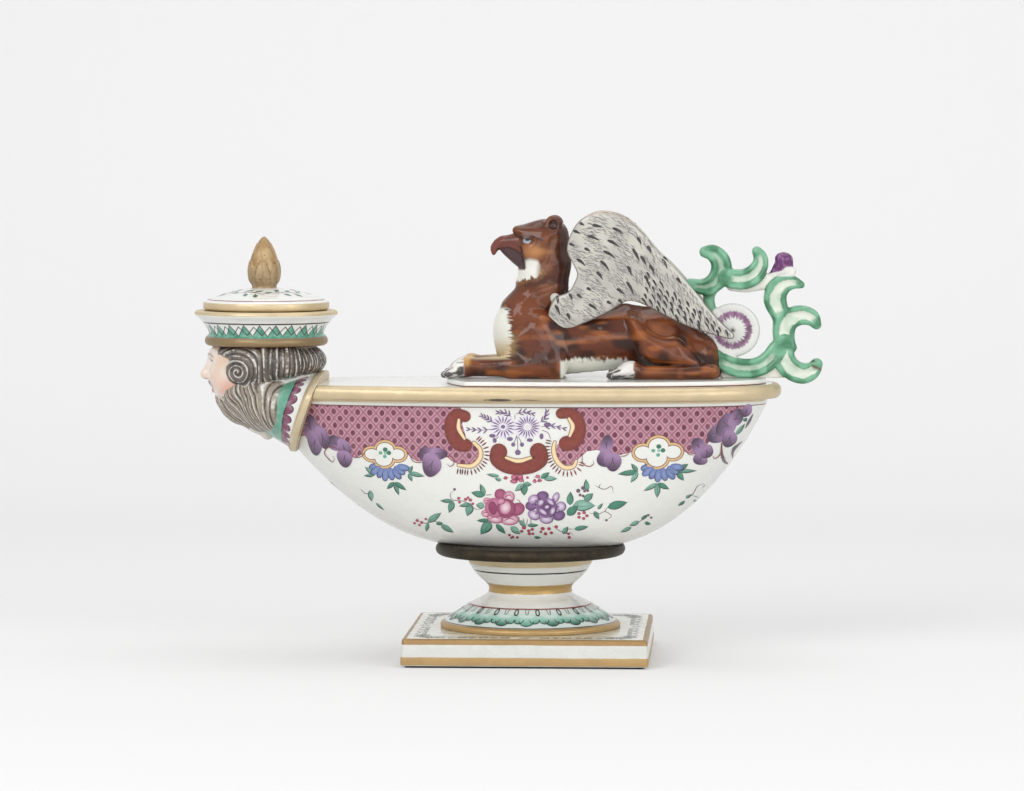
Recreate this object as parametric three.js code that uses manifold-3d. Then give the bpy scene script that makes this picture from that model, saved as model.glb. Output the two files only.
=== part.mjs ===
// An ornamental porcelain lamp in the antique manner: a boat-shaped reservoir on a
// pedestal and a square plinth, a bearded mask as its nozzle with a loose lid, and a
// loose cover that carries a lying griffin whose tail opens into scrollwork.
// Millimetres, +Z up, nozzle towards -X. The origin is the middle of the underside.
import * as THREE from "three";
import { mergeVertices } from "three/addons/utils/BufferGeometryUtils.js";
import Module from "manifold-3d";

const wasm = await Module();
wasm.setup();

// Stand
const FELT_SIDE = 94;
const FELT_TOP = 0.8;
const PLINTH_SIDE = 97;
const PLINTH_TOP = 11.4;
const PLINTH_TAPER = 0.6;
const PLINTH_WALL = 7;
const PLINTH_ROOF = 4.1;
const DISC_BOTTOM = 40.4;
const DISC_TOP = 45.2;
const DISC_RADIUS = 38.1;
const BORE_RADIUS = 3.5;

// Tie bolt through the bowl, disc, foot and plinth
const BOLT_RADIUS = 3;
const BOLT_END = 1.6;
const BOLT_HEAD_RADIUS = 5.8;
const BOLT_HEAD_THICK = 4;
const WASHER_RADIUS = 10;
const WASHER_THICK = 1.2;
const NUT_THICK = 3.4;

// Bowl: heights, and the sides of its outline in plan
const DECK_TOP = 109.5;
const DECK_UNDER = 104;
const WALL_TOP = 101.7;
const BOWL_FLOOR = 49.8;
const BOWL_WALL = 4.5;
const BOWL_SEAM = 66;
const RIM_PROUD = 5.6;
const BOWL_SIDES = 44;
const REAR_SQUARENESS = 2.6;
const FRONT_SQUARENESS = 2.0;
const WELL_MIDDLE_X = 29;
const WELL_HALF_LENGTH = 53;
const WELL_HALF_WIDTH = 27;

// Cover plate
const PLATE_TOP = 111.5;
const PLATE_INSET = 6;
const PLATE_FRONT_X = -33.4;
const PLATE_CORNER_X = -25;
const FLANGE_CLEARANCE = 0.6;
const FLANGE_THICK = 3;
const FLANGE_DROP = 5;

// Collar, neck and nozzle
const COLLAR_X = -82.9;
const COLLAR_LEAN = 0.372;
const GAP = 0.3;
const NOZZLE_X = -106;
const CUP_BOTTOM = 124;
const CUP_TOP = 138;
const CUP_HOLE = 19;
const WICK_WELL_RADIUS = 15;
const WICK_WELL_FLOOR = 97.2;
const PASSAGE_TOP = 102.2;
const PASSAGE_HALF_WIDTH = 7;
const LID_SEAT = 138.3;
const BUD_BASE = 147;

// Tail
const SCROLL_HALF_WIDTH = 3.9;
const SCROLL_HALF_DEPTH = 4.6;

const ROUND_SIDES = 32;

const glaze = (colour, roughness = 0.15) =>
  new THREE.MeshStandardMaterial({ color: colour, roughness, metalness: 0 });
const metal = (colour, roughness) =>
  new THREE.MeshStandardMaterial({ color: colour, roughness, metalness: 1 });
const PORCELAIN = glaze(0xece9e4);
const BROWN = glaze(0x6f3115);
const FEATHER = glaze(0xdcdad2);
const GREEN = glaze(0x5fa583);
const SKIN = glaze(0xd9b9a2);
const GILT = glaze(0xb79866, 0.35);
const BRONZE = metal(0x2c2419, 0.45);
const STEEL = metal(0x9a9a98, 0.4);
const FELT = glaze(0x24402f, 0.95);

const vec = (x, y, z) => new THREE.Vector3(x, y, z);

// A closed three.js geometry as a solid, facing out.
function solid(geometry) {
  const bare = geometry.clone();
  for (const name of Object.keys(bare.attributes)) {
    if (name !== "position") bare.deleteAttribute(name);
  }
  const merged = mergeVertices(bare, 1e-4);
  const triVerts = new Uint32Array(merged.index.array);
  const vertProperties = merged.attributes.position.array;
  const made = new wasm.Manifold(new wasm.Mesh({ numProp: 3, vertProperties, triVerts }));
  if (made.volume() >= 0) return made;
  for (let i = 0; i < triVerts.length; i += 3) {
    [triVerts[i + 1], triVerts[i + 2]] = [triVerts[i + 2], triVerts[i + 1]];
  }
  return new wasm.Manifold(new wasm.Mesh({ numProp: 3, vertProperties, triVerts }));
}

const joined = (solids) => solids.reduce((all, one) => all.add(one));

// A body through rings of points, each end closed to its ring's middle.
function loft(rings) {
  const sides = rings[0].length;
  const points = rings.flat();
  const faces = [];
  for (let k = 0; k + 1 < rings.length; k++) {
    for (let i = 0; i < sides; i++) {
      const j = (i + 1) % sides;
      const low = k * sides;
      const high = low + sides;
      faces.push(low + i, low + j, high + j, low + i, high + j, high + i);
    }
  }
  for (const [ring, turn] of [[0, 1], [rings.length - 1, -1]]) {
    const middle = new THREE.Vector3();
    rings[ring].forEach((p) => middle.addScaledVector(p, 1 / sides));
    points.push(middle);
    for (let i = 0; i < sides; i++) {
      const a = ring * sides + i;
      const b = ring * sides + ((i + 1) % sides);
      faces.push(points.length - 1, turn > 0 ? b : a, turn > 0 ? a : b);
    }
  }
  const geometry = new THREE.BufferGeometry().setFromPoints(points);
  geometry.setIndex(faces);
  return solid(geometry);
}

// A turned body: profile is [radius, height] pairs from the axis back to the axis, or a closed loop.
function turned(profile, x = 0, sides = ROUND_SIDES) {
  const geometry = new THREE.LatheGeometry(profile.map(([r, z]) => new THREE.Vector2(r, z)), sides);
  geometry.rotateX(Math.PI / 2).translate(x, 0, 0);
  return solid(geometry);
}

function prism(radius, bottom, top, x = 0, sides = ROUND_SIDES) {
  const geometry = new THREE.CylinderGeometry(radius, radius, top - bottom, sides);
  geometry.rotateX(Math.PI / 2).translate(x, 0, (top + bottom) / 2);
  return solid(geometry);
}

function block(low, high) {
  const size = high.map((h, i) => h - low[i]);
  const geometry = new THREE.BoxGeometry(...size);
  geometry.translate(...low.map((l, i) => l + size[i] / 2));
  return solid(geometry);
}

// A flat outline in plan, [x, y] points, raised from bottom to top.
function raised(outline, bottom, top) {
  const shape = new THREE.Shape(outline.map(([x, y]) => new THREE.Vector2(x, y)));
  const geometry = new THREE.ExtrudeGeometry(shape, { depth: top - bottom, bevelEnabled: false });
  return solid(geometry.translate(0, 0, bottom));
}

// Modelled forms are joined balls and tapered limbs.
const ball = (at, radii) => ({ at, radii });
const limb = (from, to, r0, r1) => ({ from, to, r0, r1 });

function formSolid(form, grow) {
  if (form.radii) {
    const geometry = new THREE.SphereGeometry(1, 12, 7);
    geometry.scale(...form.radii.map((r) => r + grow));
    return solid(geometry.translate(...form.at));
  }
  const from = vec(...form.from);
  const along = vec(...form.to).sub(from);
  const [r0, r1, length] = [form.r0 + grow, form.r1 + grow, along.length()];
  const profile = [];
  const capSteps = 2;
  for (let k = 0; k <= capSteps; k++) {
    const a = (Math.PI / 2) * (k / capSteps);
    profile.push(new THREE.Vector2(k ? r0 * Math.sin(a) : 0, -r0 * Math.cos(a)));
  }
  for (let k = capSteps; k >= 0; k--) {
    const a = (Math.PI / 2) * (k / capSteps);
    profile.push(new THREE.Vector2(k ? r1 * Math.sin(a) : 0, length + r1 * Math.cos(a)));
  }
  const geometry = new THREE.LatheGeometry(profile, 8);
  geometry.applyQuaternion(new THREE.Quaternion().setFromUnitVectors(vec(0, 1, 0), along.normalize()));
  return solid(geometry.translate(...form.from));
}

const modelled = (forms, grow = 0) => joined(forms.map((form) => formSolid(form, grow)));
const bothSides = (make) => [-1, 1].flatMap((side) => make(side));

// A rod along a curve, with rounded ends; radiusAt gives [in the XZ plane, across it].
function rod(points, radiusAt, steps) {
  const curve = new THREE.CatmullRomCurve3(points.map(([x, z]) => vec(x, 0, z)));
  const sides = 8;
  const rings = [];
  for (let k = 0; k <= steps; k++) {
    const t = k / steps;
    const along = curve.getTangentAt(t);
    const across = vec(-along.z, 0, along.x);
    const [inPlane, sideways] = radiusAt(t);
    const ring = [];
    for (let i = 0; i < sides; i++) {
      const a = (i / sides) * 2 * Math.PI;
      const p = curve.getPointAt(t).addScaledVector(across, inPlane * Math.cos(a));
      ring.push(p.add(vec(0, sideways * Math.sin(a), 0)));
    }
    rings.push(ring);
  }
  return loft(rings);
}

// Half outline of the bowl's wall at t from 0 (foot) to 1 (rim): rear, front, half width, height.
const rearCurve = new THREE.CubicBezierCurve(
  new THREE.Vector2(37, DISC_TOP), new THREE.Vector2(60, 51),
  new THREE.Vector2(80, 72), new THREE.Vector2(94.5, WALL_TOP));
const frontCurve = new THREE.CubicBezierCurve(
  new THREE.Vector2(37, DISC_TOP), new THREE.Vector2(64, 50),
  new THREE.Vector2(85, 71), new THREE.Vector2(110, WALL_TOP));
const widthCurve = new THREE.CubicBezierCurve(
  new THREE.Vector2(22, DISC_TOP), new THREE.Vector2(30, 49),
  new THREE.Vector2(36, 70), new THREE.Vector2(36.5, WALL_TOP));

// Where a curve of [reach, height] passes a height.
function reachAt(curve, height) {
  let [low, high] = [0, 1];
  for (let k = 0; k < 40; k++) {
    const middle = (low + high) / 2;
    if (curve.getPoint(middle).y < height) low = middle;
    else high = middle;
  }
  return curve.getPoint(low).x;
}

// The bowl's outline in plan at a height, moved out by proud.
function bowlOutline(height, proud, sides) {
  const at = Math.min(height, WALL_TOP);
  const rear = reachAt(rearCurve, at) + proud;
  const front = reachAt(frontCurve, at) + proud;
  const wide = reachAt(widthCurve, at) + proud;
  const outline = [];
  for (let i = 0; i < sides; i++) {
    const a = (i / sides) * 2 * Math.PI;
    const power = 2 / (Math.cos(a) > 0 ? REAR_SQUARENESS : FRONT_SQUARENESS);
    const c = Math.sign(Math.cos(a)) * Math.abs(Math.cos(a)) ** power;
    const s = Math.sign(Math.sin(a)) * Math.abs(Math.sin(a)) ** power;
    outline.push([c * (c > 0 ? rear : front), s * wide]);
  }
  return outline;
}

const ringAt = (outline, z) => outline.map(([x, y]) => vec(x, y, z));
const collarXAt = (z) => COLLAR_X + (z - DECK_TOP) * COLLAR_LEAN;

// All that lies in front of the leaning collar plane moved back by shift.
function aheadOfCollar(shift) {
  const [low, high, far, halfWidth] = [40, 160, -200, 100];
  const side = [
    [far, low], [collarXAt(low) + shift, low], [collarXAt(high) + shift, high], [far, high],
  ];
  return loft([-halfWidth, halfWidth].map((y) => side.map(([x, z]) => vec(x, y, z))));
}

const boltHole = prism(BORE_RADIUS, -5, 60, 0, 24);

// The oil's way from the bowl to the wick well: a duct in the mask, and behind it a channel
// under the deck.
const passageTo = (top) => block(
  [NOZZLE_X, -PASSAGE_HALF_WIDTH, WICK_WELL_FLOOR], [-68, PASSAGE_HALF_WIDTH, top]);
const duct = passageTo(PASSAGE_TOP);
const channel = passageTo(DECK_UNDER);

const below = (height) => block([-200, -100, -10], [200, 100, height]);

function wellOutline(inset) {
  const outline = [];
  const [long, wide, sides] = [WELL_HALF_LENGTH - inset, WELL_HALF_WIDTH - inset, 44];
  for (let i = 0; i < sides; i++) {
    const a = (i / sides) * 2 * Math.PI;
    const power = 2 / REAR_SQUARENESS;
    const c = Math.sign(Math.cos(a)) * Math.abs(Math.cos(a)) ** power;
    const s = Math.sign(Math.sin(a)) * Math.abs(Math.sin(a)) ** power;
    outline.push([WELL_MIDDLE_X + c * long, s * wide]);
  }
  return outline;
}

// The bowl is pressed as a dish and a wall, luted together along a level seam.
function makeBowl() {
  const wallHeights = [DISC_TOP, 47, 49.5, 53, 58, BOWL_SEAM, 74, 84, 93, WALL_TOP, DECK_UNDER];
  const outer = loft(wallHeights.map((z) => ringAt(bowlOutline(z, 0, BOWL_SIDES), z)));
  const hollowHeights = [BOWL_FLOOR, 53, 58, BOWL_SEAM, 76, 88, DECK_UNDER + 1];
  const hollow = loft(hollowHeights.map((z) => {
    const slope = z < 60 ? 3 : 0;
    return ringAt(bowlOutline(Math.max(DISC_TOP, z - slope), -BOWL_WALL, 32), z);
  })).subtract(aheadOfCollar(BOWL_WALL));
  return outer
    .subtract(aheadOfCollar(0))
    .subtract(hollow)
    .subtract(boltHole)
    .subtract(channel);
}

// The deck closes the bowl, with a rounded rim all round and a mouth under the cover.
function makeDeck() {
  const rim = [
    [DECK_UNDER, RIM_PROUD - 1.2], [105.2, RIM_PROUD], [107.6, RIM_PROUD],
    [109, RIM_PROUD - 1], [DECK_TOP, RIM_PROUD - 2.4],
  ];
  return loft(rim.map(([z, proud]) => ringAt(bowlOutline(z, proud, BOWL_SIDES), z)))
    .subtract(aheadOfCollar(0))
    .subtract(raised(wellOutline(0), DECK_UNDER - 2, DECK_TOP + 2));
}

// One ring of the neck in a plane that leans with the collar, shift mm in front of it.
function neckRing(shift, top, bottom, halfWidth) {
  const widest = DECK_UNDER;
  const sides = 28;
  const ring = [];
  for (let i = 0; i < sides; i++) {
    const a = (i / sides) * 2 * Math.PI;
    const rise = Math.sin(a) > 0 ? top - widest : widest - bottom;
    const z = widest + rise * Math.sin(a);
    ring.push(vec(collarXAt(z) - shift, halfWidth * Math.cos(a), z));
  }
  return ring;
}

const SKULL = [
  ball([NOZZLE_X + 0.5, 0, 114], [23.4, 22, 17]),
  ball([NOZZLE_X + 7, 0, 117], [16.2, 21, 9]),
  limb([-113, 0, 106], [-107, 0, 95], 13.5, 9.5),
  limb([-107, 0, 95], [-102.5, 0, 89], 9.5, 3.2),
];
const FACE = [
  limb([-127.4, 0, 118.6], [-130, 0, 111.4], 1.6, 2.3),
  limb([-126, 0, 107.6], [-124.5, 0, 104.6], 2.6, 2.6),
  ...bothSides((side) => [
    limb([-127, side * 2.4, 119.4], [-121.5, side * 11, 119.2], 2, 1.8),
    ball([-119.5, side * 8, 111], [7, 7.4, 6]),
    limb([-126.5, side * 1.5, 107.6], [-119, side * 10, 102.8], 2.4, 2),
    ball([-117, side * 15.5, 114.5], [6.4, 5.5, 6.4]),
    limb([-112, side * 19, 115], [-97, side * 18.5, 117], 5.2, 6.4),
    limb([-116, side * 12.5, 105], [-108, side * 8.5, 94], 4.4, 3.6),
  ]),
];

const wickWell = turned([
  [0, WICK_WELL_FLOOR], [7, WICK_WELL_FLOOR], [WICK_WELL_RADIUS, 107],
  [WICK_WELL_RADIUS, 140], [0, 140],
], NOZZLE_X, 28);

function makeHead() {
  return modelled([...SKULL, ...FACE])
    .subtract(block([-140, -30, CUP_BOTTOM], [-70, 30, 140]))
    .subtract(wickWell)
    .subtract(duct);
}

// The neck is luted from an arch over the deck and a lower part with the channel in it.
function makeNeck() {
  const rings = [
    neckRing(GAP, 113.6, 81.4, 28.6), neckRing(3.2, 113.6, 81.6, 28.4),
    neckRing(3.5, 112.9, 82.4, 27.2), neckRing(8, 113, 85, 24.4),
    neckRing(14, 112.4, 88, 22), neckRing(20, 112, 91, 19),
  ];
  return loft(rings).subtract(modelled(SKULL, GAP))
    .subtract(modelled(FACE, GAP))
    .subtract(channel);
}

function makeCup() {
  return turned([
    [CUP_HOLE, CUP_BOTTOM], [23.3, CUP_BOTTOM], [24.4, 124.9], [24.4, 126.2], [23.6, 127.7],
    [23, 128.4], [23.2, 129.6], [24.3, 131.6], [26.6, 134.4], [28.6, 136.4], [28.6, 137.4],
    [27.6, CUP_TOP], [CUP_HOLE, CUP_TOP], [CUP_HOLE, CUP_BOTTOM],
  ], NOZZLE_X);
}

function makeLid() {
  const [flange, wall, drop] = [CUP_HOLE - FLANGE_CLEARANCE, 3, 4.5];
  return turned([
    [0, LID_SEAT], [flange - wall, LID_SEAT], [flange - wall, LID_SEAT - drop],
    [flange, LID_SEAT - drop], [flange, LID_SEAT], [24.4, LID_SEAT], [25.1, 139],
    [25.1, 141.2], [24.2, 141.9], [20, 143.6], [13, 145.7], [6, BUD_BASE], [0, BUD_BASE],
  ], NOZZLE_X);
}

function makeBud() {
  return turned([
    [0, BUD_BASE], [5.2, BUD_BASE], [5.1, 147.8], [6.2, 150.4], [6.7, 153.4], [6.3, 156.4],
    [5.2, 159.8], [3.6, 163.4], [2.2, 166], [1.1, 167.3], [0, 167.6],
  ], NOZZLE_X - 0.8, 24);
}

function makePlinth() {
  const half = PLINTH_SIDE / 2;
  const corner = (inset) => [[-1, -1], [1, -1], [1, 1], [-1, 1]]
    .map(([x, y]) => [x * (half - inset), y * (half - inset)]);
  const outer = loft([
    ringAt(corner(0), FELT_TOP), ringAt(corner(PLINTH_TAPER), PLINTH_TOP - 0.6),
    ringAt(corner(PLINTH_TAPER + 0.6), PLINTH_TOP),
  ]);
  const recess = half - PLINTH_WALL;
  const roof = PLINTH_TOP - PLINTH_ROOF;
  return outer.subtract(block([-recess, -recess, -1], [recess, recess, roof])).subtract(boltHole);
}

function makeFoot() {
  return turned([
    [30.5, PLINTH_TOP], [35.7, PLINTH_TOP], [36, 12.4], [35.2, 13.4], [33.8, 14.1], [29.6, 16.8],
    [24.3, 20.5], [20.4, 23], [17.6, 24.9], [16.6, 26.8], [17, 28.4], [18.4, 29.7], [21, 32.2],
    [23, 34.4], [24.4, 36.6], [25.1, 38.6], [25, DISC_BOTTOM], [20, DISC_BOTTOM], [18.5, 35],
    [12, 29], [11, 26], [14, 23], [24, 16],
    [30.5, PLINTH_TOP],
  ]);
}

function makeDisc() {
  const edge = (DISC_TOP - DISC_BOTTOM) / 2;
  const profile = [[0, DISC_BOTTOM]];
  const edgeSteps = 5;
  for (let k = 0; k <= edgeSteps; k++) {
    const a = -Math.PI / 2 + (Math.PI * k) / edgeSteps;
    const z = DISC_BOTTOM + edge + edge * Math.sin(a);
    profile.push([DISC_RADIUS - edge + edge * Math.cos(a), z]);
  }
  profile.push([0, DISC_TOP]);
  return turned(profile, 0, 40).subtract(boltHole);
}

function makeBolt() {
  const shankTop = BOWL_FLOOR + WASHER_THICK;
  return prism(BOLT_RADIUS, BOLT_END, shankTop + 1, 0, 16)
    .add(prism(BOLT_HEAD_RADIUS, shankTop, shankTop + BOLT_HEAD_THICK, 0, 6));
}

const washer = (bottom) => prism(WASHER_RADIUS, bottom, bottom + WASHER_THICK, 0, 24).subtract(boltHole);

// The cover plate follows the deck at the rear and bulges forward at its front edge.
function plateOutline() {
  const rear = bowlOutline(WALL_TOP, RIM_PROUD - PLATE_INSET, 56).filter(([x]) => x > PLATE_CORNER_X);
  rear.sort((a, b) => Math.atan2(a[1], a[0] + 30) - Math.atan2(b[1], b[0] + 30));
  const corner = rear[rear.length - 1];
  const front = new THREE.QuadraticBezierCurve(
    new THREE.Vector2(...corner), new THREE.Vector2(2 * PLATE_FRONT_X - corner[0], 0),
    new THREE.Vector2(rear[0][0], rear[0][1]));
  const bulge = front.getPoints(10).slice(1, -1);
  return [...rear, ...bulge.map((p) => [p.x, p.y])];
}

function makePlate() {
  const under = DECK_TOP;
  const flange = raised(wellOutline(FLANGE_CLEARANCE), under - FLANGE_DROP, under + 1)
    .subtract(raised(wellOutline(FLANGE_CLEARANCE + FLANGE_THICK), under - FLANGE_DROP - 1, under));
  return raised(plateOutline(), under, PLATE_TOP).add(flange);
}

const TORSO = [
  ball([0, 0, 129], [14, 12.4, 12.5]),
  limb([5, 0, 126.5], [36, 0, 126], 13, 11.6),
  limb([36, 0, 126], [60, 0, 122], 12.6, 11),
  limb([60, 0, 121], [69, 0, 117], 10, 7.5),
  ball([-2, 0, 140], [9.4, 10.4, 12]),
  ...bothSides((side) => [
    limb([44, side * 9.5, 130], [66, side * 11.5, 120.5], 8.4, 7.4),
    limb([66, side * 12, 120], [73, side * 12.5, 115], 7, 3.5),
    limb([73, side * 13, 114.8], [44, side * 14, 115], 3.4, 3.1),
    ball([37, side * 14, 114.6], [6, 4.4, 3.8]),
  ]),
];
const foreleg = (side) => [
  limb([6, side * 9.5, 129], [9, side * 11, 117], 7, 5.4),
  limb([8.5, side * 11.5, 116], [-24, side * 10.5, 116.2], 4.8, 3.7),
  ball([-28.6, side * 10.5, 115], [6, 4.6, 3.9]),
];
const HEAD = [
  limb([2.5, 0, 143], [5, 0, 154], 10.6, 10),
  limb([9, 0, 144], [9, 0, 160], 7, 7.4),
  ball([4.5, 0, 164.6], [10, 8.4, 8.6]),
  limb([-3, 0, 164], [-10.6, 0, 165], 4.3, 2.7),
  limb([-10.6, 0, 165], [-14.4, 0, 162.4], 2.7, 1.4),
  limb([-2.5, 0, 159.5], [-8.6, 0, 161.6], 3.4, 2),
  ...bothSides((side) => [
    limb([-4.6, side * 3.2, 169.4], [5, side * 5.4, 169.6], 2.2, 2.4),
    ball([9.8, side * 5.6, 172.8], [4, 2, 3.6]),
  ]),
];

const aboveCover = block([-60, -60, PLATE_TOP], [130, 60, 200]);
const behindRim = block([101.5, -60, 100], [130, 60, 200]);

// A wing: a bevelled leaf-shaped plate that leans out from the shoulder.
function makeWing(side) {
  const shape = new THREE.Shape();
  shape.moveTo(9, 132);
  shape.quadraticCurveTo(6, 138, 11, 143.6);
  shape.bezierCurveTo(19, 148, 21, 152, 16.2, 159);
  shape.bezierCurveTo(12, 167, 20, 177.5, 29, 178);
  shape.bezierCurveTo(40, 177.5, 46, 168, 56, 157.8);
  shape.lineTo(76.7, 134.6);
  shape.quadraticCurveTo(83.2, 128.4, 78.5, 127.4);
  shape.bezierCurveTo(66, 131, 54, 137.5, 45.8, 141.4);
  shape.bezierCurveTo(40, 143.4, 36, 141.4, 30.7, 137.8);
  shape.bezierCurveTo(24, 133.4, 16, 128.6, 9, 132);
  const [inner, outer, bevel] = [7.6, 11, 0.9];
  const geometry = new THREE.ExtrudeGeometry(shape, {
    depth: outer - inner - 2 * bevel, curveSegments: 7, bevelThickness: bevel,
    bevelSize: 0.8, bevelOffset: -0.8, bevelSegments: 1,
  });
  geometry.rotateX(Math.PI / 2).translate(0, -inner - bevel, 0);
  const leanOut = 0.16;
  const hinge = 130;
  const position = geometry.attributes.position;
  for (let i = 0; i < position.count; i++) {
    const splay = leanOut * Math.max(0, position.getZ(i) - hinge);
    position.setY(i, side * -(position.getY(i) - splay));
  }
  return solid(geometry)
    .subtract(modelled([...TORSO, ...HEAD, ...foreleg(side)], GAP));
}

// The tail: C-scrolls round an opening with a rosette in it, and a bud. Each scroll is [x, z] points.
const SCROLLS = {
  foot: [[74, 119.6], [80.2, 116], [85.9, 115.1], [91.6, 116], [97.7, 122.9]],
  lower: [[101, 126], [101, 121.3], [102.4, 117.2], [105.2, 114.2], [109.4, 113.3], [113.4, 115.6]],
  middle: [[102.6, 126.6], [101.2, 130.4], [102.4, 133.6], [105.4, 136], [109.4, 136.4], [112.6, 134]],
  upper: [[99.6, 136.2], [97, 140.6], [97.4, 145.4], [100.4, 148.4], [106, 149]],
  crown: [[90.2, 161], [91.4, 157.2], [89.6, 153.6], [85.8, 151.4], [79.4, 151.4]],
  crest: [[70.2, 161], [73.8, 160.6], [76, 157.4], [76, 154], [74.6, 150.4], [71.2, 147.8], [62, 148.8]],
};
const LINKS = {
  stem: [[73.6, 149.6], [72, 144], [75, 135]],
  brace: [[86, 149], [92, 149.2], [97, 147]],
  spine: [[98.7, 138], [98.4, 130], [98.7, 121.6]],
};
const ROSETTE = { x: 81, z: 130.6, radius: 10.6, halfDepth: 2.4 };

function makeTail() {
  const scrolls = Object.values(SCROLLS).map((points) => rod(points, (t) => {
    const swell = 0.76 + 0.24 * Math.sin(Math.PI * (0.12 + 0.76 * t));
    return [SCROLL_HALF_WIDTH * swell, SCROLL_HALF_DEPTH * swell];
  }, 2 * points.length - 1));
  const links = Object.values(LINKS).map((points) => rod(points, () => [2.7, 3.2], 3));
  const rosette = solid(
    new THREE.CylinderGeometry(ROSETTE.radius, ROSETTE.radius, 2 * ROSETTE.halfDepth, 24)
      .translate(ROSETTE.x, 0, ROSETTE.z));
  const bud = rod([[96, 151], [98.4, 155], [101.4, 159]], (t) => [1.4 + 2 * t, 1.4 + 1.8 * t], 4);
  const leaf = rod([[97, 149], [101, 152.6], [104.6, 155]], () => [2.4, 2], 3);
  const web = rod([[76, 114], [84, 112.4], [96, 112.4]], () => [2, 2.2], 3);
  return joined([...scrolls, ...links, rosette, bud, leaf, web])
    .subtract(modelled(TORSO, GAP))
    .intersect(aboveCover.add(behindRim));
}

const lamp = new THREE.Group();

function add(name, made, material) {
  const { numProp, numVert, vertProperties, triVerts } = made.getMesh();
  const positions = new Float32Array(numVert * 3);
  for (let i = 0; i < numVert; i++) {
    positions.set(vertProperties.subarray(i * numProp, i * numProp + 3), i * 3);
  }
  const geometry = new THREE.BufferGeometry();
  geometry.setAttribute("position", new THREE.BufferAttribute(positions, 3));
  geometry.setIndex(new THREE.BufferAttribute(triVerts, 1));
  geometry.computeVertexNormals();
  const mesh = new THREE.Mesh(geometry, material);
  mesh.name = name;
  lamp.add(mesh);
}

add("felt_pad", block([-FELT_SIDE / 2, -FELT_SIDE / 2, 0], [FELT_SIDE / 2, FELT_SIDE / 2, FELT_TOP]), FELT);
add("plinth", makePlinth(), PORCELAIN);
add("pedestal_foot", makeFoot(), PORCELAIN);
add("mount_disc", makeDisc(), BRONZE);
const bowl = makeBowl();
add("bowl_dish", bowl.intersect(below(BOWL_SEAM)), PORCELAIN);
add("bowl_wall", bowl.subtract(below(BOWL_SEAM)), PORCELAIN);
add("deck_rim", makeDeck(), PORCELAIN);
const neck = makeNeck();
add("neck_arch", neck.subtract(below(DECK_UNDER)), PORCELAIN);
add("neck_throat", neck.intersect(below(DECK_UNDER)), PORCELAIN);
add("mask_head", makeHead(), SKIN);
add("coronet_cup", makeCup(), PORCELAIN);
add("tie_bolt", makeBolt(), STEEL);
add("bowl_washer", washer(BOWL_FLOOR), STEEL);
const plinthRoof = PLINTH_TOP - PLINTH_ROOF;
add("foot_washer", washer(plinthRoof - WASHER_THICK), STEEL);
const nutTop = plinthRoof - WASHER_THICK;
add("foot_nut", prism(BOLT_HEAD_RADIUS, nutTop - NUT_THICK, nutTop, 0, 6).subtract(boltHole), STEEL);
add("spout_lid", makeLid(), PORCELAIN);
add("lid_bud", makeBud(), GILT);
add("cover_plate", makePlate(), PORCELAIN);

const torso = modelled(TORSO).intersect(aboveCover);
add("griffin_torso", torso, BROWN);
for (const [side, hand] of [[-1, "left"], [1, "right"]]) {
  const leg = modelled(foreleg(side)).subtract(modelled(TORSO, GAP)).intersect(aboveCover);
  add("foreleg_" + hand, leg, BROWN);
  add("wing_" + hand, makeWing(side), FEATHER);
}
const forelegs = modelled([...foreleg(-1), ...foreleg(1)], GAP);
add("griffin_head", modelled(HEAD).subtract(modelled(TORSO, GAP)).subtract(forelegs), BROWN);
add("tail_scroll", makeTail(), GREEN);

export default lamp;
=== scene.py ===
"""Looks of an ornamental porcelain lamp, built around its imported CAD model.

Shapes are worked out in millimetres in the CAD's own frame (+Z up, nozzle towards -X, origin in the
middle of the underside) and become metres only when a mesh is made. Colours are linear.
"""

import math

import bpy
import numpy as np
import openvdb
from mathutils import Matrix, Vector
from mathutils.bvhtree import BVHTree


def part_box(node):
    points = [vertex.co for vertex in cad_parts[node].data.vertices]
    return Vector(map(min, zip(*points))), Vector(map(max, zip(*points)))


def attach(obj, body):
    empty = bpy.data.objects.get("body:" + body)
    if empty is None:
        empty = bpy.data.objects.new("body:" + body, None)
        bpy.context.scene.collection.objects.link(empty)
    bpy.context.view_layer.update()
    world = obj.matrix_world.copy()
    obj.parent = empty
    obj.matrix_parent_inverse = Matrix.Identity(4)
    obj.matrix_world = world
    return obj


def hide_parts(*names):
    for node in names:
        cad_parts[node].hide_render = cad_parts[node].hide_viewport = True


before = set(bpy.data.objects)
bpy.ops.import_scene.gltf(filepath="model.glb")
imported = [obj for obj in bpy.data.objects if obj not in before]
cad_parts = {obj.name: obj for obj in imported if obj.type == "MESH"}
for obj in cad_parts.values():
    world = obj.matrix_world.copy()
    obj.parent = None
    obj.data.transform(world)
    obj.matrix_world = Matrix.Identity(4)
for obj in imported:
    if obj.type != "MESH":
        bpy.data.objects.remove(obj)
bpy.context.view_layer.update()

MM = 0.001
TAU = 2 * math.pi
rng = np.random.default_rng(7)


def srgb(r, g, b):
    """A linear colour from 8-bit display values."""
    return tuple((c / 255 / 12.92) if c <= 10 else ((c / 255 + 0.055) / 1.055) ** 2.4 for c in (r, g, b))


# Colours of the glaze, the enamels and the gilding, and of some painted shade and highlight
WHITE = srgb(232, 232, 227)
PALE_GOLD = srgb(218, 198, 160)
STRONG_GOLD = srgb(188, 154, 102)
# dark lines of enamel; also the painted shadow along the back edge of the neck collar
DARK_LINE_AND_SHADOW = srgb(58, 44, 52)
RED_BROWN = srgb(120, 45, 35)
LEAF_GREEN = srgb(98, 168, 142)
DEEP_GREEN = srgb(48, 112, 92)
TRELLIS_LINE = srgb(134, 66, 92)
BROWN = srgb(88, 43, 27)
# painted shade for the griffin's folds and painted highlight for its ridges
BROWN_FOLD_SHADE = srgb(52, 24, 18)
BROWN_RIDGE_HIGHLIGHT = srgb(158, 92, 46)
BEAK = srgb(112, 62, 54)
INK = srgb(40, 36, 38)


# Camera, stage and lamps

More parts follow.
